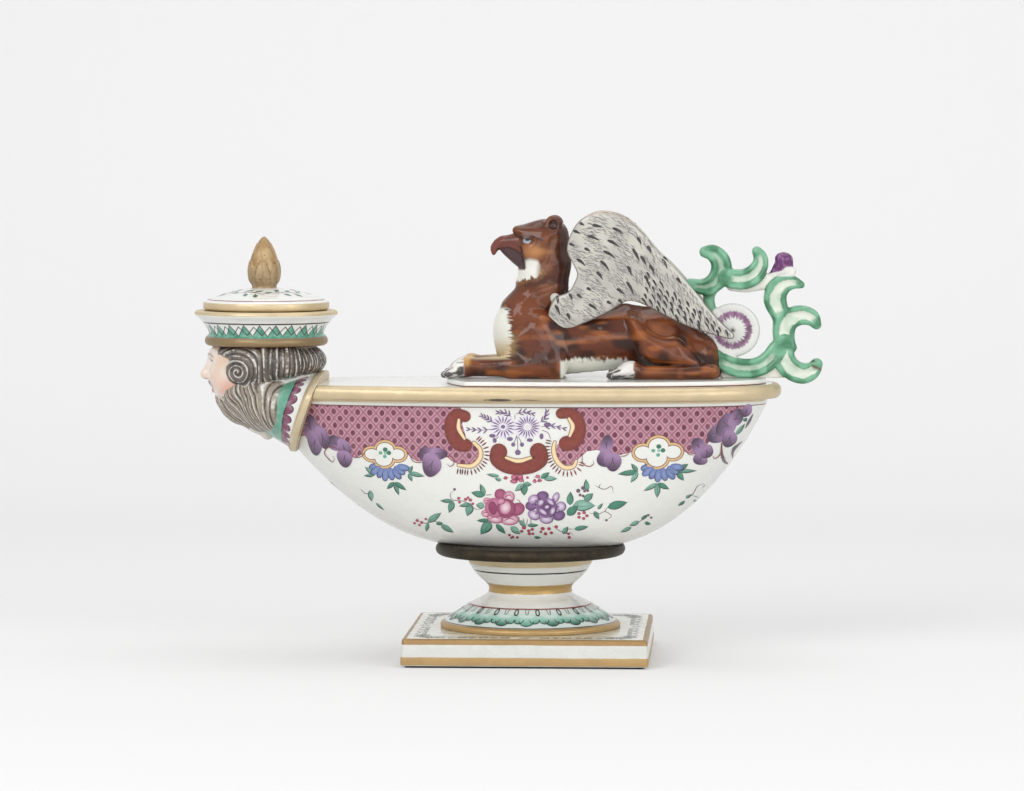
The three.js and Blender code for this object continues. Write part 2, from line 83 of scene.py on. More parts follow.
CAMERA_DISTANCE = 1800
CAMERA_TARGET = (-7.4, 0, 104)
CAMERA_AZIMUTH = math.radians(3.2)
CAMERA_RISE = math.radians(3.6)
FOCAL_PX = 4500
PHOTO_WIDTH_PX = 1024
SENSOR_WIDTH = 36
SWEEP_HALF_WIDTH = 3.0
SWEEP_NEAR = -1.2
SWEEP_FAR = 1.0
SWEEP_HEIGHT = 1.6
SWEEP_BEND = 0.45
SWEEP_GREY = 0.72
STAGE_GLOW = 0.17
WORLD_LEVEL = 0.54
WORLD_SEEN = 0.88
# Lamps as [name, place in metres, size in metres, power in watts]
LAMPS = [
    ("key", (-0.9, -1.3, 1.0), (1.0, 1.0), 11.5),
    ("fill", (1.2, -1.1, 0.6), (0.9, 1.0), 7),
    ("front", (0.1, -1.6, 0.36), (1.5, 0.5), 3.5),
    ("top", (0.1, 0.2, 1.5), (1.4, 1.0), 5.5),
]
LAMP_AIM = (0, 0, 0.1)


def add_camera():
    data = bpy.data.cameras.new("camera")
    data.sensor_fit = "HORIZONTAL"
    data.sensor_width = SENSOR_WIDTH
    data.lens = SENSOR_WIDTH * FOCAL_PX / PHOTO_WIDTH_PX
    data.clip_end = 20
    camera = bpy.data.objects.new("camera", data)
    bpy.context.scene.collection.objects.link(camera)
    level = math.cos(CAMERA_RISE)
    back = Vector((math.sin(CAMERA_AZIMUTH) * level, -math.cos(CAMERA_AZIMUTH) * level,
                   math.sin(CAMERA_RISE)))
    camera.location = (Vector(CAMERA_TARGET) + back * CAMERA_DISTANCE) * MM
    camera.rotation_euler = back.to_track_quat("Z", "Y").to_euler()
    bpy.context.scene.camera = camera


def add_lamp(name, place, size, power):
    data = bpy.data.lights.new(name, "AREA")
    data.shape = "RECTANGLE"
    data.size, data.size_y = size
    data.energy = power
    lamp = bpy.data.objects.new(name, data)
    bpy.context.scene.collection.objects.link(lamp)
    lamp.location = place
    lamp.rotation_euler = (Vector(place) - Vector(LAMP_AIM)).to_track_quat("Z", "Y").to_euler()


def seen_level(nodes, links, level):
    """The level on camera, glossy and transmission rays, and nothing on the rays that light the object."""
    rays = nodes.new("ShaderNodeLightPath")
    seen = rays.outputs["Is Camera Ray"]
    for name in ("Is Glossy Ray", "Is Transmission Ray"):
        either = nodes.new("ShaderNodeMath")
        either.operation = "MAXIMUM"
        links.new(seen, either.inputs[0])
        links.new(rays.outputs[name], either.inputs[1])
        seen = either.outputs[0]
    scaled = nodes.new("ShaderNodeMath")
    scaled.operation = "MULTIPLY"
    scaled.inputs[1].default_value = level
    links.new(seen, scaled.inputs[0])
    return scaled.outputs[0]


def add_stage():
    """A pale sweep, clear from behind, whose seen colour is even, with a soft shadow under the object."""
    bend_from = SWEEP_FAR - SWEEP_BEND
    profile = [(SWEEP_NEAR, 0), (bend_from, 0)]
    steps = 12
    for k in range(1, steps + 1):
        a = math.pi / 2 * k / steps
        profile.append((bend_from + SWEEP_BEND * math.sin(a), SWEEP_BEND - SWEEP_BEND * math.cos(a)))
    profile.append((SWEEP_FAR, SWEEP_HEIGHT))
    verts = [(side * SWEEP_HALF_WIDTH, y, z) for y, z in profile for side in (-1, 1)]
    faces = [(2 * k, 2 * k + 1, 2 * k + 3, 2 * k + 2) for k in range(len(profile) - 1)]
    mesh = bpy.data.meshes.new("sweep")
    mesh.from_pydata(verts, [], faces)
    mesh.shade_smooth()
    sweep = bpy.data.objects.new("sweep", mesh)
    bpy.context.scene.collection.objects.link(sweep)
    material = bpy.data.materials.new("sweep")
    material.use_nodes = True
    nodes, links = material.node_tree.nodes, material.node_tree.links
    nodes.clear()
    out = nodes.new("ShaderNodeOutputMaterial")
    add = nodes.new("ShaderNodeAddShader")
    diffuse = nodes.new("ShaderNodeBsdfDiffuse")
    diffuse.inputs["Color"].default_value = (SWEEP_GREY, SWEEP_GREY, SWEEP_GREY, 1)
    emission = nodes.new("ShaderNodeEmission")
    emission.inputs["Color"].default_value = (1, 1, 1, 1)
    links.new(seen_level(nodes, links, STAGE_GLOW), emission.inputs["Strength"])
    links.new(diffuse.outputs[0], add.inputs[0])
    links.new(emission.outputs[0], add.inputs[1])
    clear = nodes.new("ShaderNodeBsdfTransparent")
    side = nodes.new("ShaderNodeNewGeometry")
    shown = nodes.new("ShaderNodeMixShader")
    links.new(side.outputs["Backfacing"], shown.inputs["Fac"])
    links.new(add.outputs[0], shown.inputs[1])
    links.new(clear.outputs[0], shown.inputs[2])
    links.new(shown.outputs[0], out.inputs["Surface"])
    mesh.materials.append(material)


def add_light():
    world = bpy.data.worlds.new("studio")
    bpy.context.scene.world = world
    world.use_nodes = True
    nodes, links = world.node_tree.nodes, world.node_tree.links
    background = nodes["Background"]
    background.inputs["Color"].default_value = (1, 1, 1, 1)
    level = seen_level(nodes, links, WORLD_SEEN - WORLD_LEVEL)
    total = nodes.new("ShaderNodeMath")
    total.operation = "ADD"
    total.inputs[1].default_value = WORLD_LEVEL
    links.new(level, total.inputs[0])
    links.new(total.outputs[0], background.inputs["Strength"])
    for lamp in LAMPS:
        add_lamp(*lamp)
    bpy.context.scene.view_settings.view_transform = "Standard"


# Shaders

class Glaze:
    """A small helper that builds one node material. Places are in millimetres."""

    def __init__(self, name):
        self.material = bpy.data.materials.new(name)
        self.material.use_nodes = True
        self.tree = self.material.node_tree
        self.shader = self.tree.nodes["Principled BSDF"]
        self.shader.inputs["IOR"].default_value = 1.5

    def node(self, kind, *inputs, **settings):
        made = self.tree.nodes.new("ShaderNode" + kind)
        for key, value in settings.items():
            setattr(made, key, value)
        for place, value in enumerate(inputs):
            self.feed(made.inputs[place], value)
        return made

    def feed(self, socket, value):
        if value is None:
            return
        if isinstance(value, bpy.types.NodeSocket):
            self.tree.links.new(value, socket)
        elif isinstance(value, (tuple, list)) and socket.type == "RGBA":
            socket.default_value = (*value[:3], 1)
        else:
            socket.default_value = value

    def math(self, operation, a, b=None, c=None, clamp=False):
        return self.node("Math", a, b, c, operation=operation, use_clamp=clamp).outputs[0]

    def plus(self, a, b, clamp=False):
        return self.math("ADD", a, b, clamp=clamp)

    def less(self, a, b):
        return self.math("SUBTRACT", a, b)

    def times(self, a, b, clamp=False):
        return self.math("MULTIPLY", a, b, clamp=clamp)

    def field(self, name):
        return self.node("Attribute", attribute_name=name).outputs["Fac"]

    def paint(self):
        return self.node("Attribute", attribute_name="paint").outputs["Color"]

    def place(self):
        mapping = self.node("Mapping", self.node("TexCoord").outputs["Object"])
        mapping.inputs["Scale"].default_value = [1 / MM] * 3
        return mapping.outputs[0]

    def noise(self, size, detail, rough=0.5):
        """Noise from 0 to 1 whose features are about size mm."""
        made = self.node("TexNoise", self.place())
        made.inputs["Scale"].default_value = 1 / size
        made.inputs["Detail"].default_value = detail
        made.inputs["Roughness"].default_value = rough
        return made.outputs["Fac"]

    def step(self, value, low, high):
        made = self.node("MapRange", value, low, high, 0.0, 1.0, interpolation_type="SMOOTHSTEP")
        return made.outputs[0]

    def mix(self, amount, a, b, blend="MIX"):
        made = self.node("Mix", data_type="RGBA", blend_type=blend)
        self.feed(made.inputs["Factor"], amount)
        self.feed(made.inputs[6], a)
        self.feed(made.inputs[7], b)
        return made.outputs[2]

    def band(self, value, low, high, soft=0.12):
        return self.less(self.step(value, low - soft, low + soft),
                         self.step(value, high - soft, high + soft))

    def wavy(self, value, size, amount):
        """The value with a hand-drawn unsteadiness of about amount."""
        shift = self.times(self.less(self.noise(size, 2), 0.5), 2 * amount)
        return self.plus(value, shift)

    def finish(self, colour, roughness=0.1, gold=None, bump=0.35, mottle=0.05, ripple=6.0):
        """Glaze with slight mottling and ripple. Gold is a mask of the gilded places."""
        cloud = self.noise(9.0, 4)
        speck = self.noise(1.6, 2)
        both = self.plus(self.times(cloud, 0.7), self.times(speck, 0.3))
        shade = self.math("MULTIPLY_ADD", both, 2 * mottle, 1 - mottle)
        toned = self.mix(1.0, colour, self.grey(shade), "MULTIPLY")
        self.feed(self.shader.inputs["Base Color"], toned)
        rough = self.math("MULTIPLY_ADD", speck, 0.08, roughness - 0.02)
        if gold is not None:
            rough = self.math("MULTIPLY_ADD", gold, 0.26, rough)
            self.feed(self.shader.inputs["Metallic"], self.times(gold, 0.35))
        self.feed(self.shader.inputs["Roughness"], rough)
        wave = self.plus(self.noise(ripple, 2), self.times(self.noise(1.1, 1), 0.12))
        self.roughen(wave, bump)
        return self.material

    def roughen(self, height, depth):
        """Unevenness of the surface, depth mm high."""
        lump = self.node("Bump")
        lump.inputs["Strength"].default_value = 1
        lump.inputs["Distance"].default_value = depth * MM
        self.feed(lump.inputs["Height"], height)
        self.feed(self.shader.inputs["Normal"], lump.outputs[0])

    def gild(self, mask, tint, gold, wear, clouds, shade):
        """A mask and tint of worn gilding, and the mask of all gilding so far. Shade is the tone of its
        darker clouds."""
        size, low, high, loss = wear
        worn = self.step(self.noise(size, 5, rough=0.7), low, high)
        tint = self.mix(self.noise(*clouds), tint, tuple(c * shade for c in tint))
        mask = self.times(mask, self.math("MULTIPLY_ADD", worn, loss, 1 - loss))
        gold = mask if gold is None else self.plus(gold, mask, clamp=True)
        return mask, tint, gold

    def grey(self, value):
        made = self.node("CombineColor")
        for socket in made.inputs[:3]:
            self.feed(socket, value)
        return made.outputs[0]


# Wear of gilding as [size in mm, noise level of full wear, of no wear, share of gold lost], and its
# darker clouds as [size in mm, detail]
BAND_WEAR = (2.2, 0.28, 0.36, 0.35)
BAND_CLOUDS = (5.0, 3)
ZONE_WEAR = (2.4, 0.25, 0.34, 0.3)
ZONE_CLOUDS = (6.0, 4)


def banded(name, bands, wobble, extra=None):
    """White glaze with painted bands by height: [low, high, colour, gilded]."""
    glaze = Glaze(name)
    height = glaze.wavy(glaze.field("height"), 7.0, wobble)
    colour, gold = WHITE, None
    for low, high, tint, gilded in bands:
        mask = glaze.band(height, low, high)
        if gilded:
            mask, tint, gold = glaze.gild(mask, tint, gold, BAND_WEAR, BAND_CLOUDS, 0.8)
        colour = glaze.mix(mask, colour, tint)
    if extra:
        colour = extra(glaze, height, colour)
    return glaze.finish(colour, gold=gold)


def zoned(name, zones, extra=None, **finish):
    """White glaze with painted zones: each is [field positive inside in mm, colour, gilded]."""
    glaze = Glaze(name)
    colour, gold = WHITE, None
    for where, tint, gilded in zones:
        value = glaze.wavy(glaze.field(where), 4.0, 0.12)
        mask = glaze.step(value, -0.12, 0.12)
        if gilded:
            mask, tint, gold = glaze.gild(mask, tint, gold, ZONE_WEAR, ZONE_CLOUDS, 0.75)
        colour = glaze.mix(mask, colour, tint)
    if extra:
        colour = extra(glaze, colour)
    return glaze.finish(colour, gold=gold, **finish)


def painted(name, roughness, **finish):
    """Glaze coloured by the points' own paint."""
    glaze = Glaze(name)
    return glaze.finish(glaze.paint(), roughness, **finish)


def enamel_material():
    """Thin overglaze enamel on the decal pieces."""
    glaze = Glaze("enamel")
    wash = glaze.noise(1.4, 3)
    colour = glaze.mix(glaze.times(wash, 0.07), glaze.paint(), WHITE)
    return glaze.finish(colour, 0.12, bump=0.1, mottle=0.1)


# Meshes

def make_object(name, verts, faces, body, replaces, material):
    """A piece from points in millimetres, riding on a CAD body."""
    mesh = bpy.data.meshes.new(name)
    points = np.asarray(verts, dtype=np.float64) * MM
    mesh.from_pydata(points.tolist(), [], [tuple(int(i) for i in face) for face in faces])
    mesh.validate()
    mesh.shade_smooth()
    piece = bpy.data.objects.new(name, mesh)
    bpy.context.scene.collection.objects.link(piece)
    mesh.materials.append(material)
    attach(piece, body)
    if replaces:
        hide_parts(*replaces)
    return piece


def paint(piece, colours):
    """Stores one linear colour for each point."""
    colours = np.asarray(colours, dtype=np.float32)
    data = np.ones((len(colours), 4), dtype=np.float32)
    data[:, :3] = colours
    layer = piece.data.color_attributes.new("paint", "FLOAT_COLOR", "POINT")
    layer.data.foreach_set("color", data.ravel())


def field(piece, name, values):
    """Stores one number for each point."""
    layer = piece.data.attributes.new(name, "FLOAT", "POINT")
    layer.data.foreach_set("value", np.asarray(values, dtype=np.float32))


def points_of(piece):
    """The piece's points in millimetres."""
    return np.array([v.co for v in piece.data.vertices]) / MM


def grid_faces(rows, columns):
    """Quads between rows of points, each row closed round."""
    faces = []
    for r in range(rows - 1):
        for c in range(columns):
            d = (c + 1) % columns
            faces.append((r * columns + c, r * columns + d, (r + 1) * columns + d, (r + 1) * columns + c))
    return faces


def soft_bend(a, b, c, d, t):
    """A place on the soft curve from b to c that comes from a and goes on to d."""
    square, cube = 2 * a - 5 * b + 4 * c - d, 3 * b - a - 3 * c + d
    return 0.5 * (2 * b + (c - a) * t + square * t * t + cube * t ** 3)


def with_ends(points):
    """The points of a curve, with one more ahead and one behind to lead it in and out."""
    return np.vstack([2 * points[0] - points[1], points, 2 * points[-1] - points[-2]])


def lengths_along(path):
    """The length of a path up to each of its points."""
    return np.concatenate([[0], np.cumsum(np.linalg.norm(np.diff(path, axis=0), axis=1))])


def read_along(path, wanted):
    """The places on a path at the wanted lengths."""
    along = lengths_along(path)
    return np.stack([np.interp(wanted, along, path[:, k]) for k in range(path.shape[1])], axis=1)


def evenly(path, steps):
    """A path's points anew, steps + 1 of them at even distances."""
    return read_along(path, np.linspace(0, lengths_along(path)[-1], steps + 1))


def unit_rows(vectors):
    return vectors / np.maximum(np.linalg.norm(vectors, axis=1, keepdims=True), 1e-9)


def left_of(path):
    """The unit vectors to the left of a flat path's course."""
    tangent = unit_rows(np.gradient(path, axis=0))
    return np.stack([-tangent[:, 1], tangent[:, 0]], axis=1)


def smooth_profile(points, step):
    """A soft curve through [radius, height] points, evenly dense by about step."""
    points = np.array(points, dtype=float)
    padded = with_ends(points)
    dense = [points[0]]
    for k in range(1, len(padded) - 2):
        a, b, c, d = padded[k - 1:k + 3]
        pieces = max(2, int(math.ceil(np.linalg.norm(c - b) / step)))
        dense += [soft_bend(a, b, c, d, j / pieces) for j in range(1, pieces + 1)]
    return np.array(dense)


def turned(name, profile, body, replaces, material, x=0.0, sides=256, wobble=0.0, closed=True):
    """A thrown piece. Fields: around in turns, and height in mm."""
    rows = len(profile)
    angle = np.arange(sides) / sides * TAU
    soft = 1 + wobble * (np.cos(2 * angle + 0.6) + 0.5 * np.cos(3 * angle + 2.0))
    verts = np.empty((rows, sides, 3))
    verts[..., 0] = x + profile[:, :1] * np.cos(angle) * soft
    verts[..., 1] = profile[:, :1] * np.sin(angle) * soft
    verts[..., 2] = profile[:, 1:2]
    faces = grid_faces(rows, sides)
    points = verts.reshape(-1, 3)
    if closed:
        for row, flip in ((0, True), (rows - 1, False)):
            ring = list(range(row * sides, (row + 1) * sides))
            faces.append(tuple(reversed(ring)) if flip else tuple(ring))
    piece = make_object(name, points, faces, body, replaces, material)
    field(piece, "around", np.tile(angle / TAU, rows))
    field(piece, "height", np.repeat(profile[:, 1], sides))
    return piece


# Modelled forms

FAR = 20.0
FULL_FOLD = 0.35


def smooth_min(a, b, soft):
    overlap = np.maximum(soft - np.abs(a - b), 0)
    return np.minimum(a, b) - overlap * overlap / (4 * soft)


def ball(at, radii, turn, soft):
    """An ellipsoid, turned about the Y axis in degrees: positive lowers its +X end."""
    c, s = math.cos(math.radians(turn)), math.sin(math.radians(turn))
    ax, ay, az = at
    rx, ry, rz = radii

    def shape(x, y, z):
        dx, dy, dz = x - ax, y - ay, z - az
        lx, lz = dx * c - dz * s, dx * s + dz * c
        near = np.sqrt((lx / rx) ** 2 + (dy / ry) ** 2 + (lz / rz) ** 2)
        steep = np.sqrt((lx / rx ** 2) ** 2 + (dy / ry ** 2) ** 2 + (lz / rz ** 2) ** 2)
        return near * (near - 1) / np.maximum(steep, 1e-6)

    reach = max(radii)
    return shape, [a - reach for a in at], [a + reach for a in at], soft


def limb(start, end, r0, r1, soft):
    """A tapered limb with round ends."""
    a, b = np.array(start, float), np.array(end, float)
    along = b - a
    length2 = float(along @ along)

    def shape(x, y, z):
        dx, dy, dz = x - a[0], y - a[1], z - a[2]
        t = np.clip((dx * along[0] + dy * along[1] + dz * along[2]) / length2, 0, 1)
        ex, ey, ez = dx - t * along[0], dy - t * along[1], dz - t * along[2]
        return np.sqrt(ex * ex + ey * ey + ez * ez) - (r0 + (r1 - r0) * t)

    reach = max(r0, r1)
    return shape, (np.minimum(a, b) - reach).tolist(), (np.maximum(a, b) + reach).tolist(), soft


def smooth_loop(points, count):
    """A soft closed curve through points, as count evenly spaced points."""
    points = np.array(points, float)
    wrapped = np.vstack([points[-2:], points, points[:3]])
    dense = []
    for k in range(2, len(wrapped) - 3):
        a, b, c, d = wrapped[k - 1:k + 3]
        dense += [soft_bend(a, b, c, d, t) for t in np.linspace(0, 1, 13)[:-1]]
    return evenly(np.array(dense + dense[:1]), count)[:-1]


def loop_distance(x, z, loop):
    """Signed distance to a closed flat loop, negative inside, for flat arrays of places."""
    best = np.full(x.shape, 1e9)
    inside = np.zeros(x.shape, bool)
    for (ax, az), (bx, bz) in zip(loop, np.roll(loop, -1, axis=0)):
        ex, ez = bx - ax, bz - az
        t = np.clip(((x - ax) * ex + (z - az) * ez) / max(ex * ex + ez * ez, 1e-12), 0, 1)
        best = np.minimum(best, (x - ax - t * ex) ** 2 + (z - az - t * ez) ** 2)
        crosses = (az > z) != (bz > z)
        if ez:
            inside ^= crosses & (x < ax + (z - az) * ex / ez)
    return np.where(inside, -1, 1) * np.sqrt(best)


def pillow(outline, halves, roll, soft):
    """A form with a drawn side view: half as wide as halves says at places along x, with a rolled edge."""
    loop = smooth_loop(outline, 6 * len(outline))
    places, widths = np.array(halves, float).T

    def shape(x, y, z):
        flat_x, flat_z = np.broadcast_arrays(x[:, 0, :], z[:, 0, :])
        edge = np.maximum(loop_distance(flat_x, flat_z, loop) + roll, 0) / roll
        half = np.interp(flat_x, places, widths)
        edge, half = edge[:, None, :], half[:, None, :]
        near = np.sqrt(edge ** 2 + (y / half) ** 2)
        return (near - 1) * np.minimum(roll, half)

    low, high = loop.min(axis=0), loop.max(axis=0)
    wide = widths.max()
    return shape, [low[0], -wide, low[1]], [high[0], wide, high[1]], soft


def corners(part):
    """The eight corners of a cube, each with its weight for places at part of the way across."""
    for corner in range(8):
        step = np.array([(corner >> k) & 1 for k in range(3)])
        yield step, np.prod(np.where(step, part, 1 - part), axis=1)


class Clay:
    """A form held as distances to its surface on a grid, the same on both sides of y = 0."""

    def __init__(self, low, high, voxel):
        self.low, self.voxel = low, voxel
        self.axes = [np.arange(a, b, voxel, dtype=np.float32) for a, b in zip(low, high)]
        self.distance = np.full([len(axis) for axis in self.axes], FAR, np.float32)

    def window(self, low, high, margin):
        cut = []
        for axis, a, b in zip(self.axes, low, high):
            first, last = np.searchsorted(axis, (a - margin, b + margin))
            cut.append(slice(first, last))
        x, y, z = (axis[part] for axis, part in zip(self.axes, cut))
        return tuple(cut), x[:, None, None], y[None, :, None], z[None, None, :]

    def add(self, *forms):
        for shape, low, high, soft in forms:
            cut, x, y, z = self.window(low, high, soft + 3)
            self.distance[cut] = smooth_min(self.distance[cut], shape(x, y, z), soft)
        return self

    def cut(self, *forms):
        for shape, low, high, soft in forms:
            part, x, y, z = self.window(low, high, soft + 3)
            self.distance[part] = -smooth_min(-self.distance[part], shape(x, y, z), soft)
        return self

    def carve(self, depth, low, high):
        """Moves the surface in by depth(x, y, z) millimetres inside a box."""
        part, x, y, z = self.window(low, high, 0)
        self.distance[part] += depth(x, y, z)
        return self

    def at(self, points):
        """The distances at given points, read between the grid's values."""
        spots = np.abs(points) * (0, 1, 0) + points * (1, 0, 1)
        place = (spots - self.low) / self.voxel
        place = np.clip(place, 0, np.array(self.distance.shape) - 1.001)
        base = place.astype(int)
        total = np.zeros(len(points))
        for step, weight in corners(place - base):
            i, j, k = (base + step).T
            total += weight * self.distance[i, j, k]
        return total

    def mesh(self):
        whole = np.concatenate([self.distance[:, :0:-1], self.distance], axis=1)
        grid = openvdb.FloatGrid(FAR)
        grid.copyFromArray(np.ascontiguousarray(np.clip(whole, -FAR, FAR)))
        points, quads = grid.convertToQuads(0)
        points = points.astype(np.float64) * self.voxel
        points += (self.low[0], -(len(self.axes[1]) - 1) * self.voxel, self.low[2])
        a, b, c, d = (points[quads[:, k]] for k in range(4))
        volume = np.einsum("ij,ij->i", a, np.cross(b, c) + np.cross(c, d)).sum()
        if volume < 0:
            quads = quads[:, ::-1]
        return points, quads


def neighbours_mean(points, faces, values):
    """The mean of each point's neighbours' values."""
    faces = np.asarray(faces)
    a = faces.ravel()
    b = np.roll(faces, -1, axis=1).ravel()
    count = np.bincount(a, minlength=len(points)) + np.bincount(b, minlength=len(points))
    flat = values.reshape(len(points), -1)
    total = np.empty_like(flat, dtype=np.float64)
    for k in range(flat.shape[1]):
        total[:, k] = (np.bincount(a, flat[b, k], len(points))
                       + np.bincount(b, flat[a, k], len(points)))
    return (total / np.maximum(count, 1)[:, None]).reshape(values.shape)


def point_normals(points, faces):
    faces = np.asarray(faces)
    across = np.cross(points[faces[:, 2]] - points[faces[:, 0]], points[faces[:, 3]] - points[faces[:, 1]])
    normals = np.zeros_like(points)
    for k in range(4):
        for axis in range(3):
            normals[:, axis] += np.bincount(faces[:, k], across[:, axis], len(points))
    return unit_rows(normals)


def hollowness(points, faces, spread=14):
    """About -1 on sharp ridges and +1 in deep folds, from how a smoothed copy moves."""
    normals = point_normals(points, faces)
    soft = points.copy()
    for _ in range(spread):
        soft = neighbours_mean(points, faces, soft)
    moved = np.einsum("ij,ij->i", soft - points, normals)
    return np.clip(moved / FULL_FOLD, -1, 1)


def relaxed(points, faces, rounds=2):
    """The points with the voxel grain smoothed out."""
    for _ in range(rounds):
        points = 0.5 * points + 0.5 * neighbours_mean(points, faces, points)
    return points


def ramp(value, low, high):
    t = np.clip((value - low) / (high - low), 0, 1)
    return t * t * (3 - 2 * t)


def fall(value, low, high):
    """1 below low, 0 above high, with a soft step between."""
    return 1 - ramp(value, low, high)


def glow(*parts):
    """1 where all offsets are 0, fading out round it: parts are [offset, width]."""
    return np.exp(-sum((offset / width) ** 2 for offset, width in parts))


def blend(a, b, amount):
    """Colours a to b, where each may be one colour or one for each point."""
    amount = np.asarray(amount)[..., None]
    return np.asarray(a) * (1 - amount) + np.asarray(b) * amount


def value_noise(points, size, seed):
    """Smooth noise from 0 to 1 with features of about size mm, the same on each run."""
    cells = 32
    table = np.random.default_rng(seed).random((cells, cells, cells))
    p = np.asarray(points) / size + 100.0
    base = np.floor(p).astype(int)
    f = p - base
    f = f * f * (3 - 2 * f)
    total = np.zeros(len(p))
    for step, weight in corners(f):
        i, j, k = ((base + step) % cells).T
        total += weight * table[i, j, k]
    return total


# Decals: thin enamel shapes laid on a surface

# How far outside the piece a ray starts, in millimetres
CAST_FROM = 60
TREES = {}


def surface_tree(target):
    """A piece's surface for ray casts, in millimetres, built once."""
    if target.name not in TREES:
        points = [v.co / MM for v in target.data.vertices]
        TREES[target.name] = BVHTree.FromPolygons(points, [tuple(p.vertices) for p in target.data.polygons])
    return TREES[target.name]


class Decals:
    """Painted shapes drawn in flat (u, v) millimetres and dropped on a target's surface."""

    # Millimetres: height of the ground coat, height of each layer, and longest reach of a face
    GROUND = 0.02
    LIFT = 0.035
    WIDEST_FACE = 4

    def __init__(self, target, ray):
        self.tree = surface_tree(target)
        self.ray = ray
        self.points, self.faces, self.colours = [], [], []

    def land(self, u, v, layer):
        start, direction = self.ray(u, v)
        hit, normal, _, _ = self.tree.ray_cast(Vector(start), Vector(direction))
        if hit is None:
            return None
        if normal.dot(Vector(direction)) > 0:
            normal = -normal
        return hit + normal * (self.LIFT * layer + self.GROUND)

    def add(self, flat, faces, colours, layer):
        placed = [self.land(u, v, layer) for u, v in flat]
        base = len(self.points)
        self.points += [p if p is not None else Vector((0, 0, 0)) for p in placed]
        self.colours += [tuple(c) for c in colours]
        for face in faces:
            if all(placed[i] is not None for i in face):
                spread = max((placed[i] - placed[face[0]]).length for i in face)
                if spread < self.WIDEST_FACE:
                    self.faces.append(tuple(base + i for i in face))

    def blob(self, outline, edge, heart, layer, lean=None):
        """A filled shape. Its colour runs from heart to edge, or across it towards the angle lean.
        Without a heart it is of one colour."""
        outline = np.asarray(outline, float)
        middle = outline.mean(axis=0)
        heart = edge if heart is None else heart
        flat, colours = [middle], [heart if lean is None else blend(heart, edge, 0.35)]
        rings = (0.34, 0.68, 1.0)
        reach = np.abs(outline - middle).max()
        for part in rings:
            for p in outline:
                flat.append(middle + (p - middle) * part)
                amount = part ** 1.5
                if lean is not None:
                    amount = 0.42 + 0.8 * ((p - middle) @ (math.cos(lean), math.sin(lean))) * part / reach
                colours.append(blend(heart, edge, min(max(amount, 0.0), 1.0)))
        n = len(outline)
        faces = [(0, 1 + i, 1 + (i + 1) % n) for i in range(n)]
        for r in range(len(rings) - 1):
            for i in range(n):
                j = (i + 1) % n
                a, b = 1 + r * n, 1 + (r + 1) * n
                faces.append((a + i, b + i, b + j, a + j))
        self.add(flat, faces, colours, layer)

    def strip(self, left, right, colour, layer):
        """A band of one colour between two paths with as many points."""
        n = len(left)
        faces = [(i, i + 1, n + i + 1, n + i) for i in range(n - 1)]
        self.add(np.concatenate([left, right]), faces, [colour] * (2 * n), layer)

    def stroke(self, path, width, colour, layer=2, taper=0.35, steps=None):
        """A brush stroke along a path, thinner towards its ends."""
        path = np.asarray(path, float)
        if steps is None:
            steps = max(3, int(lengths_along(path)[-1] / 0.7))
        path = curve_through(path, steps)
        t = np.linspace(0, 1, len(path))
        if taper:
            swell = np.clip(np.minimum(t, 1 - t) / taper, 0.12, 1) ** 0.7
        else:
            swell = np.ones(len(path))
        side = left_of(path) * 0.5 * width * swell[:, None]
        self.strip(path - side, path + side, colour, layer)

    def build(self, name, body):
        used = sorted({i for face in self.faces for i in face})
        renumber = {old: new for new, old in enumerate(used)}
        points = [self.points[i] for i in used]
        faces = [[renumber[i] for i in face] for face in self.faces]
        piece = make_object(name, points, faces, body, (), ENAMEL)
        paint(piece, [self.colours[i] for i in used])


def curve_through(points, steps):
    """A soft curve through flat points, as steps + 1 evenly spaced points."""
    points = np.asarray(points, float)
    if len(points) > 2:
        padded = with_ends(points)
        dense = []
        for k in range(1, len(padded) - 2):
            dense += [soft_bend(*padded[k - 1:k + 3], t) for t in np.linspace(0, 1, 9)[:-1]]
        points = np.array([*dense, points[-1]])
    return evenly(points, steps)


def rounded_loop(cx, cy, rx, ry, turn=0.0, sides=14, lobes=0, dent=0.0):
    """A loop round a middle, with lobes if wanted."""
    a = np.arange(sides) / sides * TAU
    r = 1 + dent * np.cos(lobes * a)
    x, y = rx * r * np.cos(a), ry * r * np.sin(a)
    c, s = math.cos(turn), math.sin(turn)
    return np.stack([cx + x * c - y * s, cy + x * s + y * c], axis=1)


# Stand: pad, plinth, foot, disc

PLINTH_HALF = 48.5
PAD_TOP = 0.8
PLINTH_TOP = 11.4
# Radius of the foot halfway up its leaf band
LEAF_RADIUS = 30.0


def rounded_square(half, corner):
    """A square loop with rounded corners, evenly spaced points."""
    points = []
    for quarter in range(4):
        turn = quarter * math.pi / 2
        c, s = round(math.cos(turn)), round(math.sin(turn))
        local = [(half, y) for y in np.linspace(-half + corner, half - corner, 40)]
        for k in range(1, 6):
            a = math.pi / 2 * k / 6
            local.append((half - corner + corner * math.cos(a), half - corner + corner * math.sin(a)))
        points += [(x * c - y * s, x * s + y * c) for x, y in local]
    return np.array(points)


def stacked(rings):
    """The points of [loop, height] rings."""
    return np.vstack([np.column_stack([loop, np.full(len(loop), float(z))]) for loop, z in rings])


def slab(name, rings, body, replaces, material):
    """A block from [loop, height] rings, closed top and bottom."""
    points = stacked(rings)
    count = len(rings[0][0])
    faces = grid_faces(len(rings), count)
    faces.append(tuple(range((len(rings) - 1) * count, len(rings) * count)))
    faces.append(tuple(reversed(range(count))))
    piece = make_object(name, points, faces, body, replaces, material)
    field(piece, "height", points[:, 2])
    return piece


